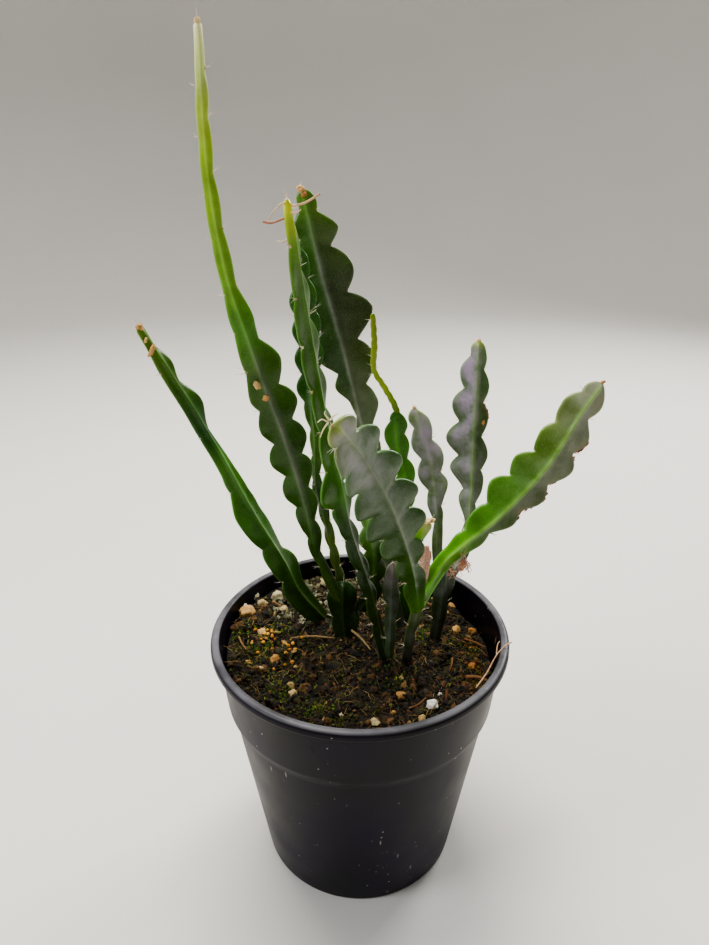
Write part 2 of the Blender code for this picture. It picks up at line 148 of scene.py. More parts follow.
def smooth_curve(points):
    """A Catmull-Rom curve through the points, as (distance, place) pairs."""
    ends = [points[0] * 2 - points[1], *points, points[-1] * 2 - points[-2]]
    places = []
    for a, b, c, d in zip(ends, ends[1:], ends[2:], ends[3:]):
        for step in range(CURVE_STEPS):
            t = step / CURVE_STEPS
            places.append(0.5 * (2 * b + (c - a) * t + (2 * a - 5 * b + 4 * c - d) * t ** 2
                                 + (3 * b - a - 3 * c + d) * t ** 3))
    places.append(points[-1])
    travelled = [0.0]
    for one, two in zip(places, places[1:]):
        travelled.append(travelled[-1] + (two - one).length)
    return list(zip(travelled, places))


def along(curve, distance):
    """Place and direction at a distance along the curve; before its start the curve runs on straight."""
    if distance <= 0:
        direction = (curve[1][1] - curve[0][1]).normalized()
        return curve[0][1] + direction * distance, direction
    last = len(curve) - 2
    for i, ((near, one), (far, two)) in enumerate(zip(curve, curve[1:])):
        if distance <= far:
            t = (distance - near) / (far - near)
            before = (two - curve[max(i - 1, 0)][1]).normalized()
            after = (curve[min(i + 2, last + 1)][1] - one).normalized()
            return one.lerp(two, t), before.lerp(after, t).normalized()
    return curve[-1][1], (curve[-1][1] - curve[-2][1]).normalized()


def stepped(rows, share, column):
    """Reads one column of (share, left, right) rows, eased between them, and a colour by its channels."""
    if share <= rows[0][0]:
        return rows[0][column]
    for one, two in zip(rows, rows[1:]):
        if share <= two[0]:
            t = (share - one[0]) / (two[0] - one[0])
            t = t * t * (3 - 2 * t)
            a, b = one[column], two[column]
            if isinstance(a, tuple):
                return tuple(p + (q - p) * t for p, q in zip(a, b))
            return a + (b - a) * t
    return rows[-1][column]


class Blade:
    """One stem: its guide runs through points in mm from the foot to the tip."""

    def __init__(self, guide, widths, skin, facing=(0, 0), lobe=12.0, notch=0.55, notches=(6.0, 12.0),
                 fold=0.0, lean=10.0, thick=1.0, rooted=False, ripple=0.7, bloom=((0, 0.0),), cork=(),
                 fade=((0, 1, 1),), rib=None):
        self.guide = [Vector(point) for point in guide]
        self.curve = smooth_curve(self.guide)
        self.length = self.curve[-1][0]
        self.widths = widths            # (share of the length, left half width, right half width) in mm
        self.skin = [(row[0], linear(row[1]), linear(row[-1])) for row in skin]     # (share, left, right)
        self.facing = facing            # where the face looks, at foot and tip: 0 front, 90 right
        self.lobe = lobe                # length of one lobe
        self.notch = notch              # half width left in a notch, as a share of the lobe's
        self.marks = [self.notch_marks(given) for given in notches]     # the notches, left and right
        self.rib = rib                  # (colour, first share, last share), where it isn't lighter skin
        self.fade = fade                # (share, left, right): how strongly the margin is notched, 0 to 1
        self.fold = fold                # how far both wings fold back from the rib, in degrees
        self.lean = lean                # how far the face looks up, in degrees
        self.thick = thick
        self.rooted = rooted
        self.ripple = ripple            # how far the lobes wave out of the blade, in mm
        # Bloom and sheen: pale wax, whose lilac grey is partly a painted reflection and highlight of violet
        # light
        self.bloom = [(row[0], row[1], row[-1]) for row in bloom]   # pale wax: (share, left, right)
        self.cork = cork                # (share, side, strength) of brown corky margins

    def notch_marks(self, given):
        """Distances of the notches: every one is given, or the first and a lobe from each to the next."""
        if isinstance(given, tuple):
            return list(given)
        count = max(1, math.ceil((self.length - given) / self.lobe))
        return [given + self.lobe * k for k in range(count)]

    def phase(self, column, distance):
        """How far along its lobe a distance is: 0 at its lower notch, 1 at its upper one."""
        marks = self.marks[column]
        if distance < marks[0]:
            return max(0.5, 1 + (distance - marks[0]) / self.lobe)
        for near, far in zip(marks, marks[1:]):
            if distance < far:
                return (distance - near) / (far - near)
        return min(0.98, (distance - marks[-1]) / self.lobe)


# The blades of the solids, their widths a little refined, with the colour of each wing from foot to tip
PLANT = {
    "stem_left": ("stem_green", [
        Blade([(-12, 16, 82), (-23, 11, 100), (-28, 8, 115), (-37, 4, 136), (-45, 0, 158), (-50, -2, 170),
               (-63, -10, 202)],
              [(0, 3, 3), (0.16, 5.6, 4.6), (0.28, 6.2, 6.6), (0.38, 6.8, 6), (0.47, 7.2, 4.4),
               (0.53, 5.6, 3.6), (0.6, 3.4, 3.2), (0.68, 3.2, 3.2), (0.77, 3, 5), (0.88, 2.6, 3.4),
               (1, 1.5, 1.6)],
              [(0, "1f2c10"), (0.15, "2a4217"), (0.3, "2f5612"), (0.45, "346412"), (0.6, "46702c"),
               (0.72, "1c4a06"), (0.88, "3c5c1a"), (1, "56702c")],
              facing=(52, 60), lobe=18, notches=((30, 47, 72, 94, 118), (41, 95, 113, 126)), rooted=True,
              ripple=0.9, fade=((0, 1, 1), (0.55, 1, 1), (0.62, 0.25, 1), (1, 0.2, 1))),
    ]),
    "crown_left": ("stem_green", [
        Blade([(-5, 7, 82), (-6, 9, 92), (-6, 11, 105)], [(0, 3.6, 3.8), (0.45, 6, 6.5), (1, 6, 4.5)],
              [(0, "16220e"), (0.6, "14240a"), (1, "1e3a0c")],
              lobe=16, notch=0.7, notches=(9, 13), rooted=True),
        Blade([(-6, 10, 94), (-12, 9, 109), (-15, 8, 118), (-19, 6, 140), (-24, 2, 163), (-29, -2, 182),
               (-33, -5, 198), (-37, -9, 216), (-39, -14, 242), (-38, -18, 274)],
              [(0, 2, 2), (0.12, 2, 2), (0.2, 3.6, 3.4), (0.27, 6, 4.8), (0.36, 7, 7), (0.46, 6.4, 7.8),
               (0.53, 4.6, 7.4), (0.6, 3.6, 3.8), (0.68, 2.3, 2.3), (0.9, 1.7, 1.7), (1, 1, 1)],
              [(0, "33451a"), (0.15, "2a4a0c"), (0.28, "2c5206"), (0.42, "2a4a0c"), (0.52, "3a5a18"),
               (0.6, "487822"), (0.68, "6a8e3c"), (0.8, "779440"), (0.9, "92a456"), (0.97, "b9c48c"),
               (1, "d4cfa6")],
              facing=(8, 14), lobe=12.9, fold=6,
              notches=((20, 32.9, 45.8, 58.7, 71.6, 84.5, 97.4, 110.4, 122, 137, 148, 162, 173),
                       (26.5, 39.4, 52.3, 65.2, 78.1, 91, 107, 124, 140, 154, 167, 177)),
              fade=((0, 1, 1), (0.42, 1, 1), (0.5, 0.2, 1), (0.58, 0.15, 0.9), (0.66, 0.15, 0.55),
                    (0.85, 0.2, 0.7), (1, 0.3, 0.8)), rib=("6c7060", 0.25, 0.56)),
        Blade([(-5, 12, 95), (-9, 13, 113), (-12, 13, 129), (-15, 13, 143), (-15, 13, 159), (-16, 13, 173),
               (-17, 13, 196), (-19, 13, 221)],
              [(0, 2, 2), (0.5, 2.1, 2.1), (0.58, 2.8, 2.8), (0.64, 4.8, 5.2), (0.85, 4.8, 4.6),
               (1, 2.6, 2.6)],
              [(0, "2a3418"), (0.2, "5a6c3c"), (0.35, "1e3c0c"), (0.5, "44681c"), (0.65, "20480c"),
               (1, "2e5614")],
              facing=(-20, 0), lobe=9.3, notch=0.6, notches=(13.3, 15.5), ripple=0.5),
        Blade([(0, 9, 94), (4, 8, 102), (5, 6, 115), (4, 4, 126), (2, 3, 138)],
              [(0, 2.6, 2.6), (0.3, 4, 4.4), (0.75, 4.6, 4.6), (1, 2.4, 2.4)],
              [(0, "122006"), (0.5, "2a4218"), (1, "6a8a54")],
              facing=(6, 10), lobe=10, notches=(9, 14)),
    ]),
    "crown_front": ("stem_young", [
        Blade([(8.7, -3, 82), (6, -7, 97), (3, -12, 115), (-1, -16, 131), (-4, -19, 143), (-7.5, -24, 164),
               (-11.5, -32, 191), (-14, -40, 213), (-15.5, -52, 237)],
              [(0, 2.2, 2.2), (0.3, 3, 3), (0.4, 3.4, 3.4), (0.48, 8, 5), (0.55, 4.4, 3.4), (0.62, 3.4, 3.4),
               (0.8, 4, 4), (0.88, 3.2, 3.2), (0.95, 2, 2), (1, 1.2, 1.2)],
              [(0, "43523a"), (0.12, "2c3c1c"), (0.25, "1a300c"), (0.38, "1e3c0a"), (0.48, "356408"),
               (0.56, "44682c"), (0.7, "305608"), (0.85, "38600a"),
               (0.93, "466c0a"), (0.97, "7c9014"), (1, "b0b83c")],
              facing=(38, 62), lobe=13.5, notches=(19.5, 26), lean=0, rooted=True),
        Blade([(10.5, -3, 82), (10.5, -7, 92), (10.5, -10, 105), (10.5, -13, 127)],
              [(0, 1.7, 1.7), (0.4, 2.1, 2.1), (0.75, 2.8, 2.8), (1, 2.4, 2.4)],
              [(0, "46603c"), (0.4, "33482a"), (0.7, "2c3a22"), (0.88, "3a3e30"), (1, "6c665a")],
              facing=(4, 4), lobe=17, notch=0.7, notches=(12, 20), rooted=True,
              bloom=((0, 0.3), (1, 0.5))),
    ]),
    "stem_broad": ("stem_green", [
        Blade([(15, 14, 82), (12, 14.5, 95), (8, 16, 119), (5, 19, 142), (0, 23, 164), (-6, 24, 188),
               (-12, 24, 210), (-18, 22, 237)],
              [(0, 3, 3), (0.3, 3.4, 3.4), (0.4, 3, 3.4), (0.5, 2.6, 5.4), (0.56, 2.6, 7.4), (0.61, 7, 9.4),
               (0.66, 9.6, 10), (0.75, 11, 13.4), (0.85, 9.6, 10), (0.915, 8, 8.4), (0.955, 4.4, 5.6),
               (1, 3, 3.2)],
              [(0, "26381a"), (0.45, "5c6a4c"), (0.56, "3c4c28", "626e52"), (0.63, "264010", "42522c"),
               (0.72, "28440f", "2c3a14"), (0.8, "2c4c14", "2a3a12"), (0.92, "35561c", "3a5218"),
               (1, "52742c")],
              facing=(0, 6), lobe=15.7, notch=0.5, fold=6, lean=4, rooted=True,
              notches=((21.5, 37.2, 52.9, 68.6, 84.3, 100, 115.7, 131.4, 145, 154),
                       (31.5, 47.2, 62.9, 78.6, 94.3, 110, 125.7, 141.2, 152.5)),
              ripple=0.9, bloom=((0, 0.35), (1, 0.05)), rib=("7b8074", 0.3, 0.9)),
    ]),
    "stem_whip": ("stem_green", [
        Blade([(18.5, 20.5, 82), (17, 20, 95), (16, 20, 125), (16, 20, 141), (13, 20, 153), (12, 20, 167)],
              [(0, 2.6, 2.6), (0.5, 3, 3), (0.7, 4, 4), (0.92, 4.4, 4.4), (1, 2.4, 2.4)],
              [(0, "2c4a10"), (0.6, "447826"), (0.8, "3f780e"), (1, "30600c")],
              facing=(-4, 4), lobe=10, notch=0.62, notches=(12, 17), rooted=True, ripple=0.5),
        Blade([(12, 20, 163), (12, 20, 168), (8, 19.5, 175.5), (4.4, 18, 182), (4.4, 16.5, 191),
               (3.7, 15, 201)],
              [(0, 1.2, 1.2), (0.5, 1, 1), (0.7, 1.2, 1.2), (1, 1, 1)],
              [(0, "4a6a14"), (0.4, "7c8c3a"), (1, "6c7c1c")],
              facing=(0, 20), lobe=3.1, notch=0.75, notches=(4, 5.6), thick=0.7, ripple=0.1),
    ]),
    "crown_right": ("stem_young", [
        Blade([(16.5, -5, 82), (17, -12, 98), (18.6, -16, 111), (19.4, -17, 119)],
              [(0, 2, 2), (0.6, 2.3, 2.3), (1, 2.4, 2.4)],
              [(0, "26321f"), (0.5, "38472c"), (0.9, "4a5a34"), (1, "4c7a20")],
              facing=(20, 20), lobe=12, notch=0.8, notches=(12, 18), rooted=True,
              bloom=((0, 0.4), (1, 0.2))),
        # This stem's lilac bloom, strongest towards the tip, is partly a painted highlight and reflection of
        # violet light
        Blade([(18.5, -17, 112), (15, -26, 133), (9, -38, 156), (2, -50, 175), (-6, -68, 193)],
              [(0, 2.6, 2.6), (0.2, 4.6, 4.6), (0.5, 9.6, 9.6), (0.8, 8.8, 8.8), (1, 4.5, 4.5)],
              [(0, "3c6a10"), (0.15, "224204"), (0.3, "24440a"), (0.45, "26480f"), (0.6, "2c4c18"),
               (0.8, "3a5a2a"), (0.95, "5a6a44"), (1, "7c8c40")],
              facing=(6, 0), lobe=13, notch=0.5, notches=(16, 22.5), lean=36, ripple=0.9,
              bloom=((0.3, 0.0), (0.6, 0.35), (0.8, 0.9), (1, 1.2)),
              rib=("5c6c4c", 0.3, 0.9)),
        # The left wing is painted bright green and the right olive grey: painted light on one wing, painted
        # shade on the other
        Blade([(19, -17, 114), (26, -10, 123.5), (33, -6, 129), (44.5, -3, 138), (57, 1, 150.5),
               (63.5, 3, 160), (70, 6, 171), (76.5, 8, 180.5)],
              [(0, 2.2, 2.2), (0.2, 3, 3), (0.36, 6.6, 4.6), (0.5, 10, 7), (0.62, 9.8, 8.6), (0.74, 8, 10),
               (0.88, 6.8, 6.8), (1, 4, 4)],
              [(0, "447618", "4e8422"), (0.2, "4e8620", "5a902c"), (0.38, "3f720e", "40562a"),
               (0.55, "447018", "4a5836"), (0.7, "4e6c26", "5a6846"), (0.85, "647446", "687256"),
               (1, "80886a", "78805e")],
              facing=(8, 14), lobe=12, notch=0.62, notches=(27.5, 33.5), fold=14, lean=20, ripple=0.8,
              bloom=((0.3, 0.0, 0.1), (0.7, 0.25, 0.5), (1, 0.6)),
              rib=("7cab40", 0.1, 1.1), cork=((0.5, 1, 0.7), (0.6, 1, 0.5), (0.77, 1, 1.0))),
        Blade([(12, -28, 136), (16, -27.5, 142), (20, -27, 149)], [(0, 2, 2), (1, 1.8, 1.8)],
              [(0, "2e5608"), (0.6, "4c7a1c"), (1, "8a8c60")],
              facing=(10, 10), lobe=20, notch=0.8, notches=(30, 9), ripple=0.2),
    ]),
    "crown_back": ("stem_grey", [
        Blade([(28, 8, 82), (29.5, 8, 99), (30.5, 9.5, 113)],
              [(0, 2.2, 2.2), (0.5, 3.4, 3.4), (0.85, 4.2, 4.4), (1, 3.4, 3.4)],
              [(0, "1c2414"), (0.6, "243018"), (1, "34422a")],
              facing=(12, 12), lobe=14, notch=0.75, notches=(9, 16), rooted=True,
              bloom=((0, 0.1), (1, 0.25))),
        # This stem's heavy lilac bloom, rising towards the tip, is partly a painted highlight and reflection
        # of violet light
        Blade([(29.5, 9, 103), (28, 14, 115), (28, 18, 124), (27, 23, 136), (24.6, 27, 148), (19, 30, 165)],
              [(0, 1.8, 1.8), (0.35, 2, 2), (0.48, 3.4, 3.6), (0.6, 5.2, 5.4), (0.75, 5.2, 5.2),
               (0.92, 4.2, 4), (1, 2.4, 2.4)],
              [(0, "2e3c1a"), (0.4, "3c5222"), (0.58, "5a6e44"), (0.74, "76846a"), (0.9, "87927c"),
               (1, "8ca258")],
              facing=(0, -6), lobe=12, notch=0.52, notches=(24, 30), ripple=0.9,
              bloom=((0.3, 0.2), (0.5, 1.1), (0.75, 2.2), (1, 1.8))),
        # The left wing's heavy lilac bloom, far more than the right's, is partly a painted reflection of
        # violet light
        Blade([(31.5, 9.5, 106), (35, 11, 112), (38, 14, 118.5), (40, 22, 136.5), (40.4, 27, 153),
               (40.5, 29, 164), (40.3, 30, 189)],
              [(0, 1.8, 1.8), (0.26, 2.2, 2.2), (0.4, 5.2, 4), (0.5, 8.4, 5.6), (0.6, 9.4, 5), (0.75, 8, 4.8),
               (0.88, 5.8, 4.2), (1, 2.6, 2.2)],
              [(0, "3a4a24"), (0.35, "4c5c38", "46563a"), (0.55, "506240", "3c4e2a"),
               (0.72, "4c6636", "385020"), (0.86, "56704a", "3c5a26"), (0.96, "6a7c58", "54703c"),
               (1, "94a84a")],
              facing=(-6, -6), lobe=12, notch=0.55, notches=(23, 30), fold=14,
              bloom=((0.25, 0.5), (0.5, 1.2, 0.4), (0.75, 2.0, 0.25), (0.93, 2.6, 0.5), (1, 0.6)),
              rib=("7a9a50", 0.2, 0.95),
              cork=((0.72, 1, 0.5),)),
    ]),
}


# Values that a user would change

class PotValues(bpy.types.PropertyGroup):
    segments: bpy.props.IntProperty(
        name="Segments", description="Faces round the pot", default=168, min=24, subtype="UNSIGNED")
    plastic: bpy.props.FloatVectorProperty(
        name="Plastic", description="Colour of the moulded polypropylene", default=linear("060507"), size=4,
        subtype="COLOR")
    dust: bpy.props.FloatVectorProperty(
        name="Dust", description="Colour of the dry dust on it", default=linear("b9b4ac"), size=4,
        subtype="COLOR")


class MixValues(bpy.types.PropertyGroup):
    crumbs: bpy.props.FloatProperty(
        name="Crumbs", description="Peat crumbs for each square metre of the bed", default=1300000.0, min=0.0)
    crumb_size: bpy.props.FloatProperty(
        name="Crumb size", description="Radius of the largest crumb", default=0.85 * MM, unit="LENGTH")
    moss: bpy.props.FloatProperty(
        name="Moss", description="Moss tufts for each square metre where it grows thick", default=2600000.0,
        min=0.0)


class StemValues(bpy.types.PropertyGroup):
    row_spacing: bpy.props.FloatProperty(
        name="Row spacing", description="Distance between the rows of faces along a stem",
        default=0.7 * MM, min=0.2 * MM, unit="LENGTH")
    face_columns: bpy.props.IntProperty(
        name="Columns", description="Columns of faces from a stem's rib to its margin", default=11, min=4)
    spine_length: bpy.props.FloatProperty(
        name="Spine length", description="Length of the longest spine", default=3.2 * MM, unit="LENGTH")
    spine_thickness: bpy.props.FloatProperty(
        name="Spine thickness", description="Share of a spine's length that its foot is wide", default=0.044,
        subtype="FACTOR")


class StageValues(bpy.types.PropertyGroup):
    lens: bpy.props.FloatProperty(
        name="Lens", description="Focal length on a 36 mm sensor", default=26.67, unit="CAMERA")
    pitch: bpy.props.FloatProperty(
        name="Pitch", description="How far the camera looks down", default=math.radians(23.44),
        subtype="ANGLE")
    yaw: bpy.props.FloatProperty(
        name="Yaw", description="How far the camera looks to the left", default=math.radians(0.52),
        subtype="ANGLE")
    place: bpy.props.FloatVectorProperty(
        name="Place", description="Where the camera stands", default=(0, -0.2074, 0.2427),
        subtype="TRANSLATION", unit="LENGTH")
    paper: bpy.props.FloatVectorProperty(
        name="Paper", description="Colour of the floor", default=linear("d8d5cf"), size=4, subtype="COLOR")


class CactusValues(bpy.types.PropertyGroup):
    pot: bpy.props.PointerProperty(type=PotValues)
    mix: bpy.props.PointerProperty(type=MixValues)
    stems: bpy.props.PointerProperty(type=StemValues)
    stage: bpy.props.PointerProperty(type=StageValues)


# Nodes and materials

def fill_inputs(tree, node, inputs):
    """Fills a node's inputs with values or with other nodes' outputs."""
    for key, value in inputs.items():
        if isinstance(value, bpy.types.NodeSocket):
            tree.links.new(value, node.inputs[key])
        else:
            node.inputs[key].default_value = value


def add_node(tree, kind, inputs=None, **settings):
    """Adds a node, sets its properties and fills its inputs."""
    node = tree.nodes.new(kind)
    for name, value in settings.items():
        setattr(node, name, value)
    fill_inputs(tree, node, inputs or {})
    return node


def new_material(name):
    """A material with its tree, its shader, and the places that its patterns follow."""
    made = bpy.data.materials.new(name)
    made.use_nodes = True
    tree = made.node_tree
    place = add_node(tree, "ShaderNodeTexCoord").outputs["Object"]
    return made, tree, tree.nodes["Principled BSDF"], place


def cactus_skin():
    """Waxy cactus epidermis, grown: its satin sheen shows every wave, over skin that is never one green."""
    made, tree, shader, place = new_material("cactus_epidermis")
    skin, rib_skin = (add_node(tree, "ShaderNodeAttribute", attribute_name=name).outputs["Color"]
                      for name in ("skin", "rib_skin"))
    rib, margin, bloom, cork = (add_node(tree, "ShaderNodeAttribute", attribute_name=name).outputs["Fac"]
                                for name in ("rib", "margin", "bloom", "cork"))

    # Slow patches of lighter and darker green
    mottle = add_node(tree, "ShaderNodeTexNoise", {
        "Vector": place, "Scale": 1 / (5.88 * MM), "Detail": 3.0})
    patch_value = add_node(tree, "ShaderNodeMapRange", {
        "Value": mottle.outputs["Fac"], "From Min": 0.3, "From Max": 0.7, "To Min": 0.8, "To Max": 1.25})
    tinted = add_node(tree, "ShaderNodeHueSaturation", {
        "Saturation": 1.28, "Value": patch_value.outputs[0], "Color": skin})

    # Pale stomata. Real ones lie 0.1 mm apart, and these 0.4 mm so that they show
    dots = add_node(tree, "ShaderNodeTexVoronoi", {"Vector": place, "Scale": 1 / (0.4 * MM)})
    dot = add_node(tree, "ShaderNodeMapRange", {
        "Value": dots.outputs["Distance"], "From Min": 0.1, "From Max": 0.36, "To Min": 0.2, "To Max": 0.0})
    speckled = add_node(tree, "ShaderNodeMix", {
        0: dot.outputs[0], 6: tinted.outputs[0], 7: linear("b7c493")}, data_type="RGBA")

    # The rib is paler where the conducting tissue lies close under the skin
    rib_depth = add_node(tree, "ShaderNodeMapRange", {
        "Value": mottle.outputs["Fac"], "From Min": 0.35, "From Max": 0.65, "To Min": 0.45, "To Max": 0.95})
    rib_share = add_node(tree, "ShaderNodeMath", {0: rib, 1: rib_depth.outputs[0]}, operation="MULTIPLY")
    ribbed = add_node(tree, "ShaderNodeMix", {
        0: rib_share.outputs[0], 6: speckled.outputs[2], 7: rib_skin}, data_type="RGBA")

    # A thin pale line along the margin
    lighter = add_node(tree, "ShaderNodeHueSaturation", {"Saturation": 0.95, "Value": 2.2, "Color": skin})
    edge_share = add_node(tree, "ShaderNodeMath", {0: margin, 1: 0.5}, operation="MULTIPLY")
    edged = add_node(tree, "ShaderNodeMix", {
        0: edge_share.outputs[0], 6: ribbed.outputs[2], 7: lighter.outputs[0]}, data_type="RGBA")

    # Wax bloom lies in clouds and thins over the margin; its lilac grey is partly painted reflection and
    # highlight
    clouds = add_node(tree, "ShaderNodeTexNoise", {
        "Vector": place, "Scale": 1 / (5.88 * MM), "Detail": 5.0, "Roughness": 0.55})
    cloud = add_node(tree, "ShaderNodeMapRange", {
        "Value": clouds.outputs["Fac"], "From Min": 0.36, "From Max": 0.64, "To Min": 0.1, "To Max": 0.6})
    bloom_and_sheen_share = add_node(tree, "ShaderNodeMath", {0: cloud.outputs[0], 1: bloom}, operation="MULTIPLY",
                         use_clamp=True)
    bloom_and_sheen_tinted = add_node(tree, "ShaderNodeMix", {
        0: bloom_and_sheen_share.outputs[0], 6: edged.outputs[2], 7: linear("a797ae")}, data_type="RGBA")

    # Cork: brown, dry and rough where the margin has healed
    grain = add_node(tree, "ShaderNodeTexNoise", {
        "Vector": place, "Scale": 1 / (1.11 * MM), "Detail": 4.0})
    cork_colour = add_node(tree, "ShaderNodeMix", {
        0: grain.outputs["Fac"], 6: linear("4a2c1c"), 7: linear("b98d74")}, data_type="RGBA")
    corked = add_node(tree, "ShaderNodeMix", {
        0: cork, 6: bloom_and_sheen_tinted.outputs[2], 7: cork_colour.outputs[2]}, data_type="RGBA")

    # Satin wax, worn in spots, and duller under bloom and cork
    dull = add_node(tree, "ShaderNodeMath", {0: bloom_and_sheen_share.outputs[0], 1: cork}, operation="ADD")
    rough = add_node(tree, "ShaderNodeMapRange", {"Value": dull.outputs[0], "To Min": 0.23, "To Max": 0.5})
    wear = add_node(tree, "ShaderNodeTexNoise", {
        "Vector": place, "Scale": 1 / (3.85 * MM), "Detail": 4.0})
    wear_and_highlight = add_node(tree, "ShaderNodeMath", {0: wear.outputs["Fac"], 1: 0.14, 2: rough.outputs[0]},
                    operation="MULTIPLY_ADD")

    # Soft dents, and cells. Real cells are 0.05 mm across, and these 0.38 mm so that they show
    cells = add_node(tree, "ShaderNodeTexNoise", {
        "Vector": place, "Scale": 1 / (0.3846 * MM), "Detail": 2.0})
    fine = add_node(tree, "ShaderNodeBump", {
        "Strength": 0.25, "Distance": 0.08 * MM, "Height": cells.outputs["Fac"]})
    dents = add_node(tree, "ShaderNodeBump", {
        "Strength": 0.5, "Distance": 0.5 * MM, "Height": mottle.outputs["Fac"],
        "Normal": fine.outputs["Normal"]})

    # A little light goes through the flesh and comes out green
    fill_inputs(tree, shader, {
        "Base Color": corked.outputs[2], "Roughness": wear_and_highlight.outputs[0], "Normal": dents.outputs["Normal"],
        "IOR": 1.45, "Specular IOR Level": 0.42, "Subsurface Weight": 0.12,
        "Subsurface Radius": (0.4, 1.0, 0.15), "Subsurface Scale": 1.2 * MM})
    return made


def moulded_polypropylene(values):
    """Black polypropylene, injection moulded: satin black greyed by dust and scuffs, with a painted rim
    highlight and violet reflection.
    """
    made, tree, shader, place = new_material("moulded_polypropylene")

    # Slow patches where the black takes a violet cast: a painted reflection of violet light
    sheen_and_satin_noise = add_node(tree, "ShaderNodeTexNoise", {
        "Vector": place, "Scale": 1 / (26.3 * MM), "Detail": 5.0})
    violet_sheen_share = add_node(tree, "ShaderNodeMapRange", {
        "Value": sheen_and_satin_noise.outputs["Fac"], "From Min": 0.35, "From Max": 0.7})
    violet_sheen_tinted = add_node(tree, "ShaderNodeMix", {
        0: violet_sheen_share.outputs[0], 6: tuple(values.plastic), 7: linear("170e24")}, data_type="RGBA")

    # Dust: specks of 0.6 mm, 3 mm apart, in patches. Real dust is finer, and these are as coarse as they
    # need to be to show
    specks = add_node(tree, "ShaderNodeTexVoronoi", {"Vector": place, "Scale": 1 / (3.03 * MM)})
    speck = add_node(tree, "ShaderNodeMapRange", {
        "Value": specks.outputs["Distance"], "From Min": 0.07, "From Max": 0.13, "To Min": 1.0,
        "To Max": 0.0})
    where = add_node(tree, "ShaderNodeTexNoise", {
        "Vector": place, "Scale": 1 / (14.3 * MM), "Detail": 3.0})
    dusty = add_node(tree, "ShaderNodeMapRange", {
        "Value": where.outputs["Fac"], "From Min": 0.5, "From Max": 0.66})
    dust_share = add_node(tree, "ShaderNodeMath", {0: speck.outputs[0], 1: dusty.outputs[0]},
                          operation="MULTIPLY")

    # Scuffs: pale dashes 0.5 mm wide and 3 mm long that run aslant down the wall, in patches
    stretched = add_node(tree, "ShaderNodeMapping", {
        "Vector": place, "Scale": (1.0, 1.0, 0.16), "Rotation": (0.5, 0.3, 0.0)})
    scuffs = add_node(tree, "ShaderNodeTexVoronoi", {
        "Vector": stretched.outputs[0], "Scale": 1 / (3.85 * MM)})
    scuff = add_node(tree, "ShaderNodeMapRange", {
        "Value": scuffs.outputs["Distance"], "From Min": 0.04, "From Max": 0.1, "To Min": 0.6, "To Max": 0.0})
    scuffed_here = add_node(tree, "ShaderNodeTexNoise", {
        "Vector": place, "Scale": 1 / (33.3 * MM), "Detail": 2.0})
    scuff_mask = add_node(tree, "ShaderNodeMapRange", {
        "Value": scuffed_here.outputs["Fac"], "From Min": 0.5, "From Max": 0.62})
    scuff_share = add_node(tree, "ShaderNodeMath", {0: scuff.outputs[0], 1: scuff_mask.outputs[0]},
                           operation="MULTIPLY")
    marks = add_node(tree, "ShaderNodeMath", {0: dust_share.outputs[0], 1: scuff_share.outputs[0]},
                     operation="MAXIMUM")

    # The rim's top is painted light grey in patches: a painted highlight where the light catches it
    height = add_node(tree, "ShaderNodeSeparateXYZ", {"Vector": place})
    on_rim = add_node(tree, "ShaderNodeMapRange", {
        "Value": height.outputs["Z"], "From Min": (POT_HEIGHT - 0.7) * MM,
        "From Max": (POT_HEIGHT - 0.2) * MM, "To Max": 0.5})
    rim_highlight_patches = add_node(tree, "ShaderNodeMapRange", {
        "Value": where.outputs["Fac"], "From Min": 0.3, "From Max": 0.6, "To Min": 0.35})
    rim_highlight_share = add_node(tree, "ShaderNodeMath", {0: on_rim.outputs[0], 1: rim_highlight_patches.outputs[0]},
                         operation="MULTIPLY")
    wear_and_highlight = add_node(tree, "ShaderNodeMix", {
        0: rim_highlight_share.outputs[0], 6: violet_sheen_tinted.outputs[2], 7: linear("8a8a8e")}, data_type="RGBA")
    coloured = add_node(tree, "ShaderNodeMix", {
        0: marks.outputs[0], 6: wear_and_highlight.outputs[2], 7: tuple(values.dust)}, data_type="RGBA")

    # Satin, rougher under dust and scuffs, over the faint grain of the mould
    rough = add_node(tree, "ShaderNodeMapRange", {
        "Value": sheen_and_satin_noise.outputs["Fac"], "From Min": 0.3, "From Max": 0.7, "To Min": 0.3, "To Max": 0.48})
    rougher = add_node(tree, "ShaderNodeMath", {0: marks.outputs[0], 1: 0.5, 2: rough.outputs[0]},
                       operation="MULTIPLY_ADD")
    grain = add_node(tree, "ShaderNodeTexNoise", {
        "Vector": place, "Scale": 1 / (1.11 * MM), "Detail": 2.0})
    bump = add_node(tree, "ShaderNodeBump", {
        "Strength": 0.2, "Distance": 0.05 * MM, "Height": grain.outputs["Fac"]})
    fill_inputs(tree, shader, {
        "Base Color": coloured.outputs[2], "Roughness": rougher.outputs[0],
        "Normal": bump.outputs["Normal"], "IOR": 1.49, "Specular IOR Level": 0.2})
    return made


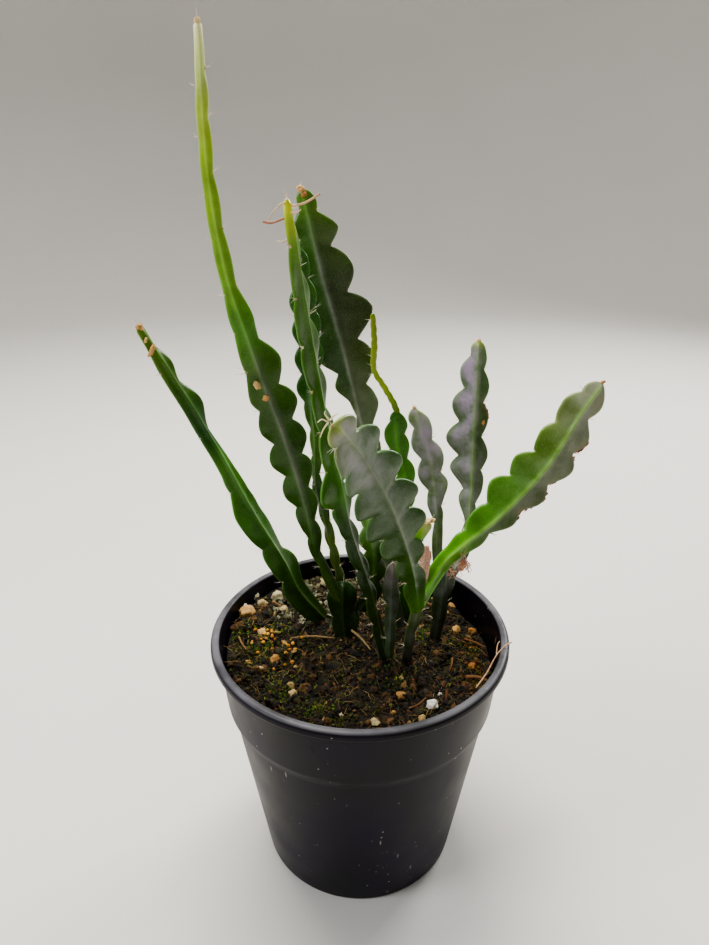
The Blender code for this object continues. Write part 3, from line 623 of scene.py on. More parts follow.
# Loose matter. Each kind has its tones, its roughness, and in mm the size of its grain and the depth of its
# bumps. The comments say what it is and what it gives the eye.
LOOSE_MATTER = {
    # Peat that holds water: near black and matte, so that the pale grains stand out on it
    "moist_peat": (["090806", "120f0a", "1d160d", "20200f", "2b2012"], 0.85, 1.0, 0.4),
    # Crumbled peat, drier on top: brown and olive flecks that break up the black
    "peat_crumb": (["0a0806", "19130c", "2b1f13", "2a2a11", "3c2b15", "624526"], 0.85, 0.8, 0.3),
    # Clods of dry root fibre: grey-green and rough, the palest patches of the bed
    "fibrous_clod": (["3e3f28", "61614a", "8a8870"], 0.9, 0.6, 0.5),
    # Coir and straw: thin tan strokes over the dark bed
    "dry_fibre": (["1e140b", "46301a", "7c5f38", "a8905c"], 0.8, 0.8, 0.1),
    # A mat of coir: rust brown, the warmest colour in the pot
    "fibre_mat": (["4a2410", "7a3d12", "a35a1c"], 0.8, 0.8, 0.1),
    # Moss leaves, thin and moist: fresh green with a slight sheen
    "moss_leaf": (["1e2a0b", "344b10", "507219", "80882c"], 0.55, 1.2, 0.1),
    # Coated fertiliser: smooth amber beads with a soft shine
    "fertiliser_granule": (["8a5016", "b87a24", "d8a548"], 0.55, 0.8, 0.1),
    # Perlite, pumice and bark grit: white over tan to dark brown, with pitted faces
    "perlite_and_grit": (["dcd8cc", "a3966c", "b58a50", "8f5a26", "3a2415"], 0.8, 0.7, 0.35),
    # Bare twigs: straw grey to red brown, with rough bark
    "bare_twig": (["9a875c", "755a36", "6e4622", "4c2c1a"], 0.75, 0.7, 0.2),
    # Areole wool, felted plant hair: a soft pale dot in every notch
    "areole_wool": (["8f7c58", "cfc3a2", "ece6d2"], 0.95, 0.3, 0.1),
    # Spines of horny tissue: straw to ivory, and hard enough to glint
    "horny_spine": (["d8c79a", "efe6cc", "faf6ea"], 0.4, 2.0, 0.02),
    # Callus, healed plant tissue: dry tan to brown crusts
    "callus": (["dcc48e", "c69a60", "a5703f", "6e3e28"], 0.8, 0.4, 0.3),
    # Dried rootlets and tendrils: cream to russet threads
    "dry_rootlet": (["efe0ba", "d2b088", "b98a72", "96563e"], 0.7, 0.8, 0.08),
    # A shed husk, as dry as paper: pinkish tan and crumpled
    "papery_husk": (["dcb9a4", "c0937e", "94604e"], 0.75, 0.7, 0.3),
}


def loose_matter(name):
    """Plant matter or grit from the table: every grain takes its own place among the tones."""
    tones, roughness, grain_size, bump_depth = LOOSE_MATTER[name]
    made, tree, shader, place = new_material(name)
    tone = add_node(tree, "ShaderNodeAttribute", attribute_name="tone").outputs["Fac"]
    grain = add_node(tree, "ShaderNodeTexNoise", {
        "Vector": place, "Scale": 1 / (grain_size * MM), "Detail": 5.0, "Roughness": 0.65})
    drift = add_node(tree, "ShaderNodeMath", {0: grain.outputs["Fac"], 1: 0.24, 2: tone},
                     operation="MULTIPLY_ADD")
    step = 1 / (len(tones) - 1)
    colour = linear(tones[0])
    for k, code in enumerate(tones[1:]):
        low = 0.12 + k * step
        share = add_node(tree, "ShaderNodeMapRange", {
            "Value": drift.outputs[0], "From Min": low, "From Max": low + step})
        colour = add_node(tree, "ShaderNodeMix", {0: share.outputs[0], 6: colour, 7: linear(code)},
                          data_type="RGBA").outputs[2]
    # The same noise raises the bumps and lightens the colour: painted light on the raised grain, painted
    # shade in the hollows
    value = add_node(tree, "ShaderNodeMapRange", {
        "Value": grain.outputs["Fac"], "From Min": 0.3, "From Max": 0.7, "To Min": 0.6, "To Max": 1.4})
    lit = add_node(tree, "ShaderNodeHueSaturation", {"Value": value.outputs[0], "Color": colour})
    bump = add_node(tree, "ShaderNodeBump", {
        "Strength": 0.7, "Distance": bump_depth * MM, "Height": grain.outputs["Fac"]})
    fill_inputs(tree, shader, {
        "Base Color": lit.outputs[0], "Roughness": roughness, "Normal": bump.outputs["Normal"],
        "Specular IOR Level": 0.35})
    return made


def studio_paper(values):
    """Seamless studio paper: pale and matte, so that the black pot and its shadow read clearly."""
    made, tree, shader, place = new_material("studio_paper")
    # Real pulp is 0.1 mm across and too fine to show here, so a slow unevenness stands for it
    pulp = add_node(tree, "ShaderNodeTexNoise", {"Vector": place, "Scale": 1 / (167 * MM), "Detail": 4.0})
    value = add_node(tree, "ShaderNodeMapRange", {
        "Value": pulp.outputs["Fac"], "To Min": 0.97, "To Max": 1.03})
    colour = add_node(tree, "ShaderNodeHueSaturation", {
        "Value": value.outputs[0], "Color": tuple(values.paper)})
    fill_inputs(tree, shader, {"Base Color": colour.outputs[0], "Roughness": 0.85})
    return made


# Meshes

def round_places(radius, segments):
    """The (x, y) places of a ring, or of its middle alone."""
    angles = [2 * math.pi * k / segments for k in range(1 if radius == 0 else segments)]
    return [(radius * math.cos(a), radius * math.sin(a)) for a in angles]


class Shell:
    """Collects points and faces in millimetres, with the values that the materials read at each point."""

    def __init__(self):
        self.points = []
        self.faces = []
        self.values = {}

    def add(self, point, **values):
        self.points.append(point)
        for name, value in values.items():
            self.values.setdefault(name, []).append(value)
        return len(self.points) - 1

    def band(self, lower, upper):
        """Closes the band between two rings of the same count, or between a ring and a single point."""
        if len(upper) == 1:
            self.faces += [(a, b, upper[0]) for a, b in zip(lower, lower[1:] + lower[:1])]
        elif len(lower) == 1:
            self.faces += [(lower[0], b, a) for a, b in zip(upper, upper[1:] + upper[:1])]
        else:
            count = len(lower)
            self.faces += [(lower[i], lower[(i + 1) % count], upper[(i + 1) % count], upper[i])
                           for i in range(count)]

    def turned(self, profile, segments, **values):
        """A form turned on its (radius, height) profile. It gives back the last ring."""
        last = None
        for radius, height in profile:
            ring = [self.add(Vector((x, y, height)), **values) for x, y in round_places(radius, segments)]
            if last is not None:
                self.band(last, ring)
            last = ring
        return last

    def tube(self, route, radii, sides, **values):
        """A closed round tube along a route, with a radius at each of its points."""
        rings = []
        across = None
        for i, (place, radius) in enumerate(zip(route, radii)):
            ahead = (route[min(i + 1, len(route) - 1)] - route[max(i - 1, 0)]).normalized()
            if across is None:
                across = ahead.orthogonal().normalized()
            across = (across - ahead * across.dot(ahead)).normalized()
            other = ahead.cross(across)
            rings.append([self.add(place + (across * x + other * y) * radius, **values)
                          for x, y in round_places(1.0, sides)])
        start = self.add(route[0], **values)
        end = self.add(route[-1], **values)
        for lower, upper in zip([[start]] + rings, rings + [[end]]):
            self.band(lower, upper)

    def lump(self, centre, axes, seed, rough=0.25, **values):
        """An irregular closed lump. Its three axes carry its half sizes."""
        draft = bmesh.new()
        bmesh.ops.create_icosphere(draft, subdivisions=3, radius=1.0)
        first = len(self.points)
        for vert in draft.verts:
            wave = 1 + rough * noise.noise(vert.co * 1.7 + Vector((seed, 0, 0)))
            wave += 0.4 * rough * noise.noise(vert.co * 5.1 + Vector((0, seed, 0)))
            out = axes[0] * vert.co.x + axes[1] * vert.co.y + axes[2] * vert.co.z
            self.add(centre + out * wave, **values)
        self.faces += [tuple(first + vert.index for vert in face.verts) for face in draft.faces]
        draft.free()

    def to_object(self, name, material, smooth=True):
        mesh = bpy.data.meshes.new(name)
        mesh.from_pydata([point * MM for point in self.points], [], self.faces)
        kinds = {tuple: ("FLOAT_COLOR", "color"), Vector: ("FLOAT_VECTOR", "vector")}
        for key, values in self.values.items():
            kind, field = kinds.get(type(values[0]), ("FLOAT", "value"))
            layer = mesh.attributes.new(key, kind, "POINT")
            flat = values if kind == "FLOAT" else [part for value in values for part in value]
            layer.data.foreach_set(field, flat)
        mesh.polygons.foreach_set("use_smooth", [smooth] * len(mesh.polygons))
        if self.faces:
            clean = bmesh.new()
            clean.from_mesh(mesh)
            bmesh.ops.recalc_face_normals(clean, faces=clean.faces)
            clean.to_mesh(mesh)
            clean.free()
        if material:
            mesh.materials.append(material)
        made = bpy.data.objects.new(name, mesh)
        bpy.context.scene.collection.objects.link(made)
        return made


def settle(piece, slot, *nodes):
    """Puts a finished piece on the plant's one body and hides the solids it stands for. Its slot is not used.
    """
    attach(piece, BODY)
    if nodes:
        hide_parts(*nodes)


# Stems

def lobe_shape(phase):
    """0 in a notch and 1 on a lobe, with a slightly steeper shoulder towards the tip."""
    return max(0.0, math.sin(math.pi * (phase % 1.0) ** 1.12)) ** 0.8


class Section:
    """The blade's cross-section at one distance: its axes, half widths, thickness and waves."""

    def __init__(self, blade, distance):
        self.blade = blade
        self.distance = distance
        self.length = blade.length
        self.share = max(0.0, distance / self.length)
        self.place, self.direction = along(blade.curve, distance)
        turn = math.radians(blade.facing[0] + (blade.facing[1] - blade.facing[0]) * self.share)
        look = Vector((math.sin(turn), -math.cos(turn), math.tan(math.radians(blade.lean))))
        self.look = (look - self.direction * look.dot(self.direction)).normalized()
        self.across = self.direction.cross(self.look).normalized()
        self.phases = [blade.phase(0, distance), blade.phase(1, distance)]
        self.half = [self.half_width(0), self.half_width(1)]
        full = min(1.0, 0.35 + 0.65 * sum(self.half) / FULL_RIB_WIDTH)
        self.rib = 0.5 * RIB_THICKNESS * blade.thick * full
        self.edge = min(0.5 * EDGE_THICKNESS * blade.thick, 0.6 * self.rib)

    def half_width(self, column):
        blade = self.blade
        wide = stepped(blade.widths, self.share, column + 1)
        lobes = 1 - (1 - lobe_shape(self.phases[column])) * stepped(blade.fade, self.share, column + 1)
        near = Vector((self.distance / blade.lobe, 3.1 * column, blade.guide[0].x))
        uneven = 1 + 0.05 * noise.noise(near)
        tip = min(1.0, (self.length - self.distance) / (1.1 * blade.widths[-1][column + 1]))
        rounding = math.sqrt(max(0.0, 1 - (1 - tip) ** 2))
        notched = max(wide * (blade.notch + (1 - blade.notch) * lobes), min(wide, SLENDEREST * blade.thick))
        return notched * uneven * max(0.12, rounding)

    def thickness(self, across, half):
        """Half the blade's thickness: most on the rib, and rounded off at the margin and the tip."""
        slope = max(0.0, 1 - abs(across)) ** 1.5
        thick = self.edge + (0.75 * self.rib - self.edge) * slope if self.rib > self.edge else self.edge
        thick += 0.3 * self.rib * math.exp(-(across * half / RIB_SPREAD) ** 2)
        rounded = min(1.0, MARGIN_ROUNDING / max(half, MARGIN_ROUNDING))
        outer = max(0.0, (abs(across) - 1 + rounded) / rounded)
        tip = min(1.0, (self.length - self.distance) / TIP_ROUNDING)
        return thick * math.sqrt(max(0.0, 1 - outer ** 2)) * math.sqrt(max(0.04, 1 - (1 - tip) ** 2))

    def point(self, across, side):
        """A point at a share across (-1 the left margin, 1 the right) on the front (1) or the back (-1)."""
        column = 0 if across < 0 else 1
        half = self.half[column]
        x = across * half
        start = self.blade.guide[0]
        thick = self.thickness(across, half)
        fold = -abs(x) * math.tan(math.radians(self.blade.fold))
        wave = self.blade.ripple * abs(across) ** 1.6 * math.cos(2 * math.pi * self.phases[column])
        wave *= min(1.0, half / WAVE_FULL_WIDTH) * min(1.0, (self.length - self.distance) / WAVE_TIP)
        slow = SLOW_WAVE * abs(across) * min(1.0, half / SLOW_FULL_WIDTH)
        slow *= noise.noise(Vector((self.distance / SLOW_WAVE_LENGTH, column * 5.3, start.y)))
        here = Vector((x / DENT_WIDTH, self.distance / DENT_LENGTH, side * 4.0 + start.x))
        dents = DENT_DEPTH * noise.noise(here) * min(1.0, thick)
        depth = side * (thick + dents) + fold - wave + slow
        return self.place + self.across * x + self.look * depth

    def values(self, across):
        """What the skin's material reads here."""
        column = 0 if across < 0 else 1
        half = self.half[column]
        inward = half - abs(across) * half
        mixed = max(0.0, min(1.0, 0.5 + 0.5 * across * half / WING_BLEND))
        left, right = (stepped(self.blade.skin, self.share, side) for side in (1, 2))
        skin = tuple(a + (b - a) * mixed for a, b in zip(left, right))
        # Bloom and sheen: pale wax with a partly painted lilac reflection and highlight, less towards the
        # margin
        pale, paler = (stepped(self.blade.bloom, self.share, side) for side in (1, 2))
        bloom = (pale + (paler - pale) * mixed) * (1 - 0.85 * abs(across) ** 3)
        ridge = math.exp(-(across * half / RIB_SPREAD) ** 2) * min(1.0, half / 4)
        rib = tuple(min(1.0, RIB_LIGHTER * a) for a in skin)
        if self.blade.rib:
            code, first, last = self.blade.rib
            bloom *= 1 - 0.6 * ridge
            nearest = min(self.share - first, last - self.share)
            own = max(0.0, min(1.0, nearest / RIB_FADE + 0.5))
            rib = tuple(a + (b - a) * own for a, b in zip(rib, linear(code)))
        cork = 0.0
        for share, side, strength in self.blade.cork:
            if side == (1 if column else -1):
                spread = math.exp(-((self.share - share) / CORK_LENGTH) ** 2)
                cork = max(cork, strength * spread * math.exp(-inward / CORK_DEPTH))
        return {"skin": skin, "rib_skin": rib, "rib": ridge, "margin": math.exp(-inward / MARGIN_LINE),
                "bloom": bloom, "cork": cork}


def blade_distances(blade, spacing):
    """Rows along a blade, closer together where the tip rounds off."""
    rows = [-ROOTED_DEPTH, -5.0] if blade.rooted else []
    even = blade.length - TIP_LENGTH
    count = max(2, round(even / spacing))
    rows += [even * k / count for k in range(count + 1)]
    return rows + [even + TIP_LENGTH * math.sin(math.pi / 2 * k / TIP_ROWS) for k in range(1, TIP_ROWS + 1)]


def grow_blade(shell, blade, spacing, columns):
    """Adds one blade to its crown's shell: two faces that meet in a rounded margin."""
    steps = [k / columns for k in range(columns + 1)]
    # The columns lie closer together on the rib and at the margin
    half = [step - 0.75 * math.sin(2 * math.pi * step) / (2 * math.pi) for step in steps]
    shares = [-share for share in reversed(half[1:])] + half
    last = None
    for distance in blade_distances(blade, spacing):
        section = Section(blade, distance)
        ring = [shell.add(section.point(across, 1), **section.values(across)) for across in shares]
        ring += [shell.add(section.point(across, -1), **section.values(across))
                 for across in reversed(shares[1:-1])]
        shell.band(last or [shell.add(section.place, **section.values(0))], ring)
        last = ring
    shell.band(last, [shell.add(section.place + section.direction * 0.2, **section.values(0))])


def notch_places(blade):
    """Place, outward direction and section of every notch, and of the tip."""
    found = []
    for column, side in ((0, -1), (1, 1)):
        for distance in blade.marks[column]:
            if distance < blade.length - 0.8 * blade.widths[-1][1]:
                section = Section(blade, distance + 0.3)
                place = (section.point(0.96 * side, 1) + section.point(0.96 * side, -1)) / 2
                found.append((place, section.across * side, section))
    section = Section(blade, blade.length - 0.3)
    found.append((section.place + section.direction * 0.3, section.direction, section))
    return found


def points_on_notches(name, draw, count, spread, smallest, largest):
    """A mesh of loose points, one or more for each areole, with the way each looks and its size."""
    cloud = Shell()
    for _, blades in PLANT.values():
        for blade in blades:
            for place, outward, section in notch_places(blade):
                for _ in range(count):
                    aim = outward + section.direction * draw.uniform(0.1, 0.8) * spread
                    aim += section.look * draw.uniform(-0.7, 0.7) * spread
                    cloud.add(place - outward * 0.1, aim=aim.normalized(),
                              size=draw.uniform(smallest, largest) * (0.7 if blade.thick < 1 else 1.0))
    return cloud.to_object(name, None)


# Geometry Nodes

def interface(tree, name, kind, default=None):
    socket = tree.interface.new_socket(name, in_out="INPUT", socket_type=kind)
    if default is not None:
        socket.default_value = default
    return socket.identifier


def finish_tree(tree, instances, material):
    """Ends a tree: a tone for each instance, then one real mesh with its material."""
    tone = add_node(tree, "FunctionNodeRandomValue", {"Seed": 9}, data_type="FLOAT")
    toned = add_node(tree, "GeometryNodeStoreNamedAttribute", {
        "Geometry": instances, "Name": "tone", "Value": tone.outputs[1]},
                     data_type="FLOAT", domain="INSTANCE")
    real = add_node(tree, "GeometryNodeRealizeInstances", {"Geometry": toned.outputs[0]})
    shaded = add_node(tree, "GeometryNodeSetMaterial", {"Geometry": real.outputs[0], "Material": material})
    tree.interface.new_socket("Geometry", in_out="OUTPUT", socket_type="NodeSocketGeometry")
    add_node(tree, "NodeGroupOutput", {0: shaded.outputs[0]})


def scatter_tree():
    """Strews one grain over a surface: its share attribute says where it lies thick."""
    tree = bpy.data.node_groups.new("strew_grains", "GeometryNodeTree")
    ids = {"Surface": interface(tree, "Surface", "NodeSocketGeometry"),
           "Grain": interface(tree, "Grain", "NodeSocketObject"),
           "Density": interface(tree, "Density", "NodeSocketFloat", 1000.0),
           "Smallest": interface(tree, "Smallest", "NodeSocketVector"),
           "Largest": interface(tree, "Largest", "NodeSocketVector"),
           "Tumble": interface(tree, "Tumble", "NodeSocketFloat", 1.0),
           "Lift": interface(tree, "Lift", "NodeSocketFloat", 0.0),
           "Seed": interface(tree, "Seed", "NodeSocketInt", 0),
           "Material": interface(tree, "Material", "NodeSocketMaterial")}
    given = add_node(tree, "NodeGroupInput")
    share = add_node(tree, "GeometryNodeInputNamedAttribute", {"Name": "share"}, data_type="FLOAT")
    density = add_node(tree, "ShaderNodeMath", {0: share.outputs[0], 1: given.outputs["Density"]},
                       operation="MULTIPLY")
    strewn = add_node(tree, "GeometryNodeDistributePointsOnFaces", {
        "Mesh": given.outputs["Surface"], "Density": density.outputs[0], "Seed": given.outputs["Seed"]})
    turn = add_node(tree, "FunctionNodeRandomValue", {
        0: (-math.pi,) * 3, 1: (math.pi,) * 3, "Seed": 3}, data_type="FLOAT_VECTOR")
    limits = add_node(tree, "ShaderNodeCombineXYZ", {
        "X": given.outputs["Tumble"], "Y": given.outputs["Tumble"], "Z": 1.0})
    tumbled = add_node(tree, "ShaderNodeVectorMath", {0: turn.outputs[0], 1: limits.outputs[0]},
                       operation="MULTIPLY")
    spin = add_node(tree, "FunctionNodeEulerToRotation", {0: tumbled.outputs[0]})
    rotation = add_node(tree, "FunctionNodeRotateRotation", {
        "Rotation": strewn.outputs["Rotation"], "Rotate By": spin.outputs[0]}, rotation_space="LOCAL")
    size = add_node(tree, "FunctionNodeRandomValue", {
        0: given.outputs["Smallest"], 1: given.outputs["Largest"], "Seed": 5}, data_type="FLOAT_VECTOR")
    grain = add_node(tree, "GeometryNodeObjectInfo", {"Object": given.outputs["Grain"]})
    placed = add_node(tree, "GeometryNodeInstanceOnPoints", {
        "Points": strewn.outputs["Points"], "Instance": grain.outputs["Geometry"],
        "Rotation": rotation.outputs[0], "Scale": size.outputs[0]})
    lift = add_node(tree, "ShaderNodeCombineXYZ", {"Z": given.outputs["Lift"]})
    lifted = add_node(tree, "GeometryNodeTranslateInstances", {
        "Instances": placed.outputs[0], "Translation": lift.outputs[0], "Local Space": False})
    finish_tree(tree, lifted.outputs[0], given.outputs["Material"])
    return tree, ids


def notch_tree():
    """Puts one shape on every point, turned to the point's aim and scaled by its size."""
    tree = bpy.data.node_groups.new("set_on_notches", "GeometryNodeTree")
    ids = {"Points": interface(tree, "Points", "NodeSocketGeometry"),
           "Shape": interface(tree, "Shape", "NodeSocketObject"),
           "Material": interface(tree, "Material", "NodeSocketMaterial")}
    given = add_node(tree, "NodeGroupInput")
    aim = add_node(tree, "GeometryNodeInputNamedAttribute", {"Name": "aim"}, data_type="FLOAT_VECTOR")
    size = add_node(tree, "GeometryNodeInputNamedAttribute", {"Name": "size"}, data_type="FLOAT")
    aligned = add_node(tree, "FunctionNodeAlignRotationToVector", {"Vector": aim.outputs[0]}, axis="Z")
    angle = add_node(tree, "FunctionNodeRandomValue", {2: 0.0, 3: 2 * math.pi, "Seed": 4}, data_type="FLOAT")
    about = add_node(tree, "ShaderNodeCombineXYZ", {"Z": angle.outputs[1]})
    spin = add_node(tree, "FunctionNodeEulerToRotation", {0: about.outputs[0]})
    rotation = add_node(tree, "FunctionNodeRotateRotation", {
        "Rotation": aligned.outputs[0], "Rotate By": spin.outputs[0]}, rotation_space="LOCAL")
    shape = add_node(tree, "GeometryNodeObjectInfo", {"Object": given.outputs["Shape"]})
    placed = add_node(tree, "GeometryNodeInstanceOnPoints", {
        "Points": given.outputs["Points"], "Instance": shape.outputs["Geometry"],
        "Rotation": rotation.outputs[0], "Scale": size.outputs[0]})
    finish_tree(tree, placed.outputs[0], given.outputs["Material"])
    return tree, ids


def run_tree(name, base, tree, ids, inputs):
    """Runs a tree on a base object and keeps the result as a plain mesh under the given name."""
    modifier = base.modifiers.new("grow", "NODES")
    modifier.node_group = tree
    for key, value in inputs.items():
        modifier[ids[key]] = value
    depsgraph = bpy.context.evaluated_depsgraph_get()
    mesh = bpy.data.meshes.new_from_object(base.evaluated_get(depsgraph), depsgraph=depsgraph)
    mesh.name = name
    made = bpy.data.objects.new(name, mesh)
    bpy.context.scene.collection.objects.link(made)
    bpy.data.objects.remove(base)
    return made


# Potting mix

def unevenness(x, y, size, height, level):
    """Bumps of one size and height, read at one level of the noise."""
    return height * noise.noise(Vector((x / size, y / size, level)))


def soil_height(x, y):
    """The surface of the mix: it climbs to the left wall, with a low mound round the stems and hollows."""
    climb = (CLIMB_WAY[0] * x + CLIMB_WAY[1] * y) / CLIMB_REACH
    rise = SOIL_TILT * (climb + max(0.0, climb) ** 2)
    aside = (x - MOUND_PLACE[0]) ** 2 + (y - MOUND_PLACE[1]) ** 2
    mound = MOUND_HEIGHT * math.exp(-aside / MOUND_SPREAD)
    long_ripple = math.sin(0.21 * x + 0.9) * math.cos(0.26 * y - 0.4)
    short_ripple = 0.6 * math.sin(0.47 * x - 0.39 * y)
    return SOIL_LEVEL + rise + mound + SOIL_RIPPLE * (long_ripple + short_ripple)


def bed_height(x, y):
    """The surface with its clods."""
    clods = unevenness(x, y, 5.5, 0.9, 1.3) + unevenness(x, y, 2.1, 0.5, 7.7)
    return soil_height(x, y) + clods + unevenness(x, y, 0.8, 0.22, 3.9)


def soil_radius(height):
    """How far the mix reaches at a height inside the collar."""
    rise = (height - COLLAR_FOOT_HEIGHT) / (POT_HEIGHT - RIM_DEPTH - COLLAR_FOOT_HEIGHT)
    return COLLAR_FOOT_RADIUS + (COLLAR_RADIUS - COLLAR_FOOT_RADIUS) * rise - WALL - SEAT_GAP


def bed_surface(share_rule, rings=26, segments=96):
    """The top of the bed as an open sheet for strewing. The rule gives how thick the grains lie."""
    sheet = Shell()
    reach = soil_radius(SOIL_LEVEL) - 1.2
    last = None
    for k in range(rings + 1):
        ring = [sheet.add(Vector((x, y, bed_height(x, y))), share=share_rule(x, y))
                for x, y in round_places(reach * k / rings, segments)]
        if last is not None:
            if len(last) == 1:
                sheet.faces += [(last[0], a, b) for a, b in zip(ring, ring[1:] + ring[:1])]
            else:
                sheet.faces += [(last[i], ring[i], ring[(i + 1) % segments], last[(i + 1) % segments])
                                for i in range(segments)]
        last = ring
    return sheet.to_object("strewing_sheet", None)


def patches(spots, floor=0.0):
    """A rule that is 1 in the middle of each (x, y, radius) spot and fades out round it to its floor."""
    def rule(x, y):
        near = max(math.exp(-(((x - a) ** 2 + (y - b) ** 2) / r ** 2)) for a, b, r in spots)
        clumps = max(0.0, 0.5 + unevenness(x, y, 3.0, 0.9, 5.5))
        return (floor + (1 - floor) * near) * clumps
    return rule


def anywhere(x, y):
    """Thick and thin at random."""
    return max(0.05, 0.75 + unevenness(x, y, 6.0, 0.6, 2.2))


MOSS_SPOTS = [(-37, -4, 8), (-42, 3, 5), (-26, -21, 5), (42, -12, 6), (14, -18, 4), (-30, 8, 5),
              (38, 4, 5), (-12, -30, 6), (24, 12, 6)]
PALE_SPOTS = [(-20, 18, 6), (-16, 36, 8), (-24, 26, 6), (-8, 42, 7), (-12, 26, 6), (-29, 21, 5)]
GRANULE_SPOTS = [(-29, -1, 4.5), (-25, -5, 3), (-33, 4, 3)]
MAT_SPOTS = [(43, -8, 6), (38, -15, 5), (46, 2, 4)]

# Grains and stones that lie on the mix: place in mm, radius, and a tone from perlite white (0) over tan
# (0.35) and orange (0.6) to dark bark (1). The first ones stand for those of the solid.
STONES = [
    (-43, 15, 3.0, 0.45), (-38, 22, 2.2, 0.3), (-33, 28, 2.4, 0.22), (-24, 30, 1.9, 0.25),
    (-30, 20, 2.0, 0.3), (-14, 40, 2.3, 0.25), (-8, 34, 2.0, 0.3), (33, 24, 2.2, 0.4),
    (30, 17, 2.0, 0.62), (37, 15, 1.8, 0.5), (24, -26, 1.9, 0.0), (-22, -24, 1.7, 0.3),
    (5, -34, 1.5, 0.25), (20, -33, 1.5, 0.4), (-30, -8, 1.9, 0.6), (40, -6, 1.6, 0.7),
    (14, -22, 1.5, 0.55), (-36, 6, 1.8, 0.4), (-45.2, 20, 1.5, 0.0), (-41.5, 27, 1.6, 0.18),
    (43, 14, 1.7, 0.66), (37, 30, 1.5, 0.45), (31, 30, 1.2, 0.4), (-6, -32, 0.9, 0.2),
    (-34, -14, 1.0, 0.3), (33, -27, 1.0, 0.35), (-14, -28, 0.8, 0.9), (11, -30, 0.9, 0.6),
    (27, -21, 0.8, 0.1), (-39, -10, 1.0, 0.5),
]
# Twigs: both ends in mm over the mix, radius, tone from straw (0) to red bark (1)
TWIGS = [
    ((-26, 3, 0.6), (-9, 4, 1.2), 0.55, 0.25), ((-3, 7, 2.6), (4, -2, 0.5), 0.5, 0.1),
    ((33, -4, 2.2), (31.4, -9, 0.4), 0.45, 0.6), ((29, -22, 2.4), (28.4, -25.5, 0.5), 0.4, 0.7),
    ((37, -12, 0.8), (44, -15, 1.0), 0.75, 0.55), ((16, -28, 0.5), (22, -24, 1.3), 0.4, 0.5),
    ((-34, 22, 1.5), (-27, 19, 0.6), 0.5, 0.4), ((39, 8, 0.7), (46, 3, 1.6), 0.5, 0.7),
    ((-44, 2, 0.9), (-40, -6, 1.5), 0.45, 0.35), ((2, 30, 0.8), (-6, 34, 1.6), 0.5, 0.6),
]


def crumb_shape(seed, subdivisions=1, flatten=1.0, rough=0.5):
    """A small faceted crumb, with a radius of about 1 m until it is scaled."""
    crumb = bmesh.new()
    bmesh.ops.create_icosphere(crumb, subdivisions=subdivisions, radius=1.0)
    for vert in crumb.verts:
        vert.co *= 1 + rough * noise.noise(vert.co * 1.3 + Vector((seed, 0, 0)))
        vert.co.z *= flatten
    mesh = bpy.data.meshes.new("crumb")
    crumb.to_mesh(mesh)
    crumb.free()
    made = bpy.data.objects.new("crumb", mesh)
    bpy.context.scene.collection.objects.link(made)
    return made


def fibre_shape(bend, thickness, steps=6):
    """A bent fibre, 1 m long along X until it is scaled."""
    fibre = Shell()
    route = []
    for t in (k / steps for k in range(steps + 1)):
        aside = bend * math.sin(2.6 * t) + 0.3 * bend * math.sin(9 * t)
        route.append(Vector((t - 0.5, aside, 0.1 * math.sin(3.1 * t))))
    radii = [0.5 * thickness * (1 - 0.6 * abs(2 * k / steps - 1) ** 2) for k in range(steps + 1)]
    fibre.tube([place * 1000 for place in route], [radius * 1000 for radius in radii], 3)
    return fibre.to_object("fibre", None)


def moss_shape():
    """A tuft of small pointed leaves, about 1 m high until it is scaled."""
    tuft = Shell()
    draw = random.Random(31)
    for k in range(6):
        turn = 2.4 * k
        out = Vector((math.cos(turn), math.sin(turn), 0))
        side = Vector((-math.sin(turn), math.cos(turn), 0)) * 0.13
        low = Vector((0, 0, 0.1 * k))
        reach = draw.uniform(0.35, 0.7)
        middle = low + out * reach * 0.5 + Vector((0, 0, 0.2))
        tip = low + out * reach + Vector((0, 0, 0.45))
        under = Vector((0, 0, -0.06))
        a, b, c, d, e = [tuft.add(p * 1000) for p in (low, middle + side, tip, middle - side, middle + under)]
        tuft.faces += [(a, b, d), (b, c, d), (a, e, b), (b, e, c), (c, e, d), (d, e, a)]
    return tuft.to_object("moss_tuft", None, smooth=False)


def on_mix(x, y, lift):
    """A place over the surface of the mix."""
    return Vector((x, y, bed_height(x, y) + lift))


# Dry bits on the stems

# Calluses and scars: place in mm, half sizes across, deep and high, turn about the view in degrees, tone
CALLUSES = [
    ((-62.6, -10.0, 201.6), (1.0, 0.9, 1.1), 20, 0.35), ((-59.6, -10.9, 195.2), (0.7, 0.35, 2.0), 30, 0.35),
    ((-60.9, -11.0, 198.2), (0.4, 0.3, 0.8), 20, 0.2), ((-31.0, -5.6, 183.4), (0.9, 0.6, 1.2), -25, 0.2),
    ((-28.6, -4.4, 179.0), (0.9, 0.7, 0.9), 0, 0.35), ((10.4, 18.4, 150.6), (1.1, 0.9, 1.6), 15, 0.15),
    ((9.8, 18.2, 148.6), (0.7, 0.7, 0.9), 0, 0.5), ((43.6, 28.4, 160.0), (0.6, 0.5, 1.0), 0, 0.4),
    ((-18.4, 21.6, 237.2), (1.2, 0.9, 0.9), 20, 0.25), ((-17.4, 21.0, 235.6), (0.9, 0.7, 0.7), -30, 0.6),
    ((20.0, -27.0, 149.4), (1.5, 1.2, 0.8), -20, 0.1), ((-38.0, -18.0, 274.2), (0.7, 0.7, 0.7), 0, 0.0),
    ((76.6, 8.0, 180.6), (0.9, 0.6, 0.5), -40, 0.6), ((19.0, 30.0, 165.0), (0.7, 0.7, 0.6), 0, 0.1),
    ((40.3, 30.0, 188.9), (0.7, 0.7, 0.7), 0, 0.1),
]
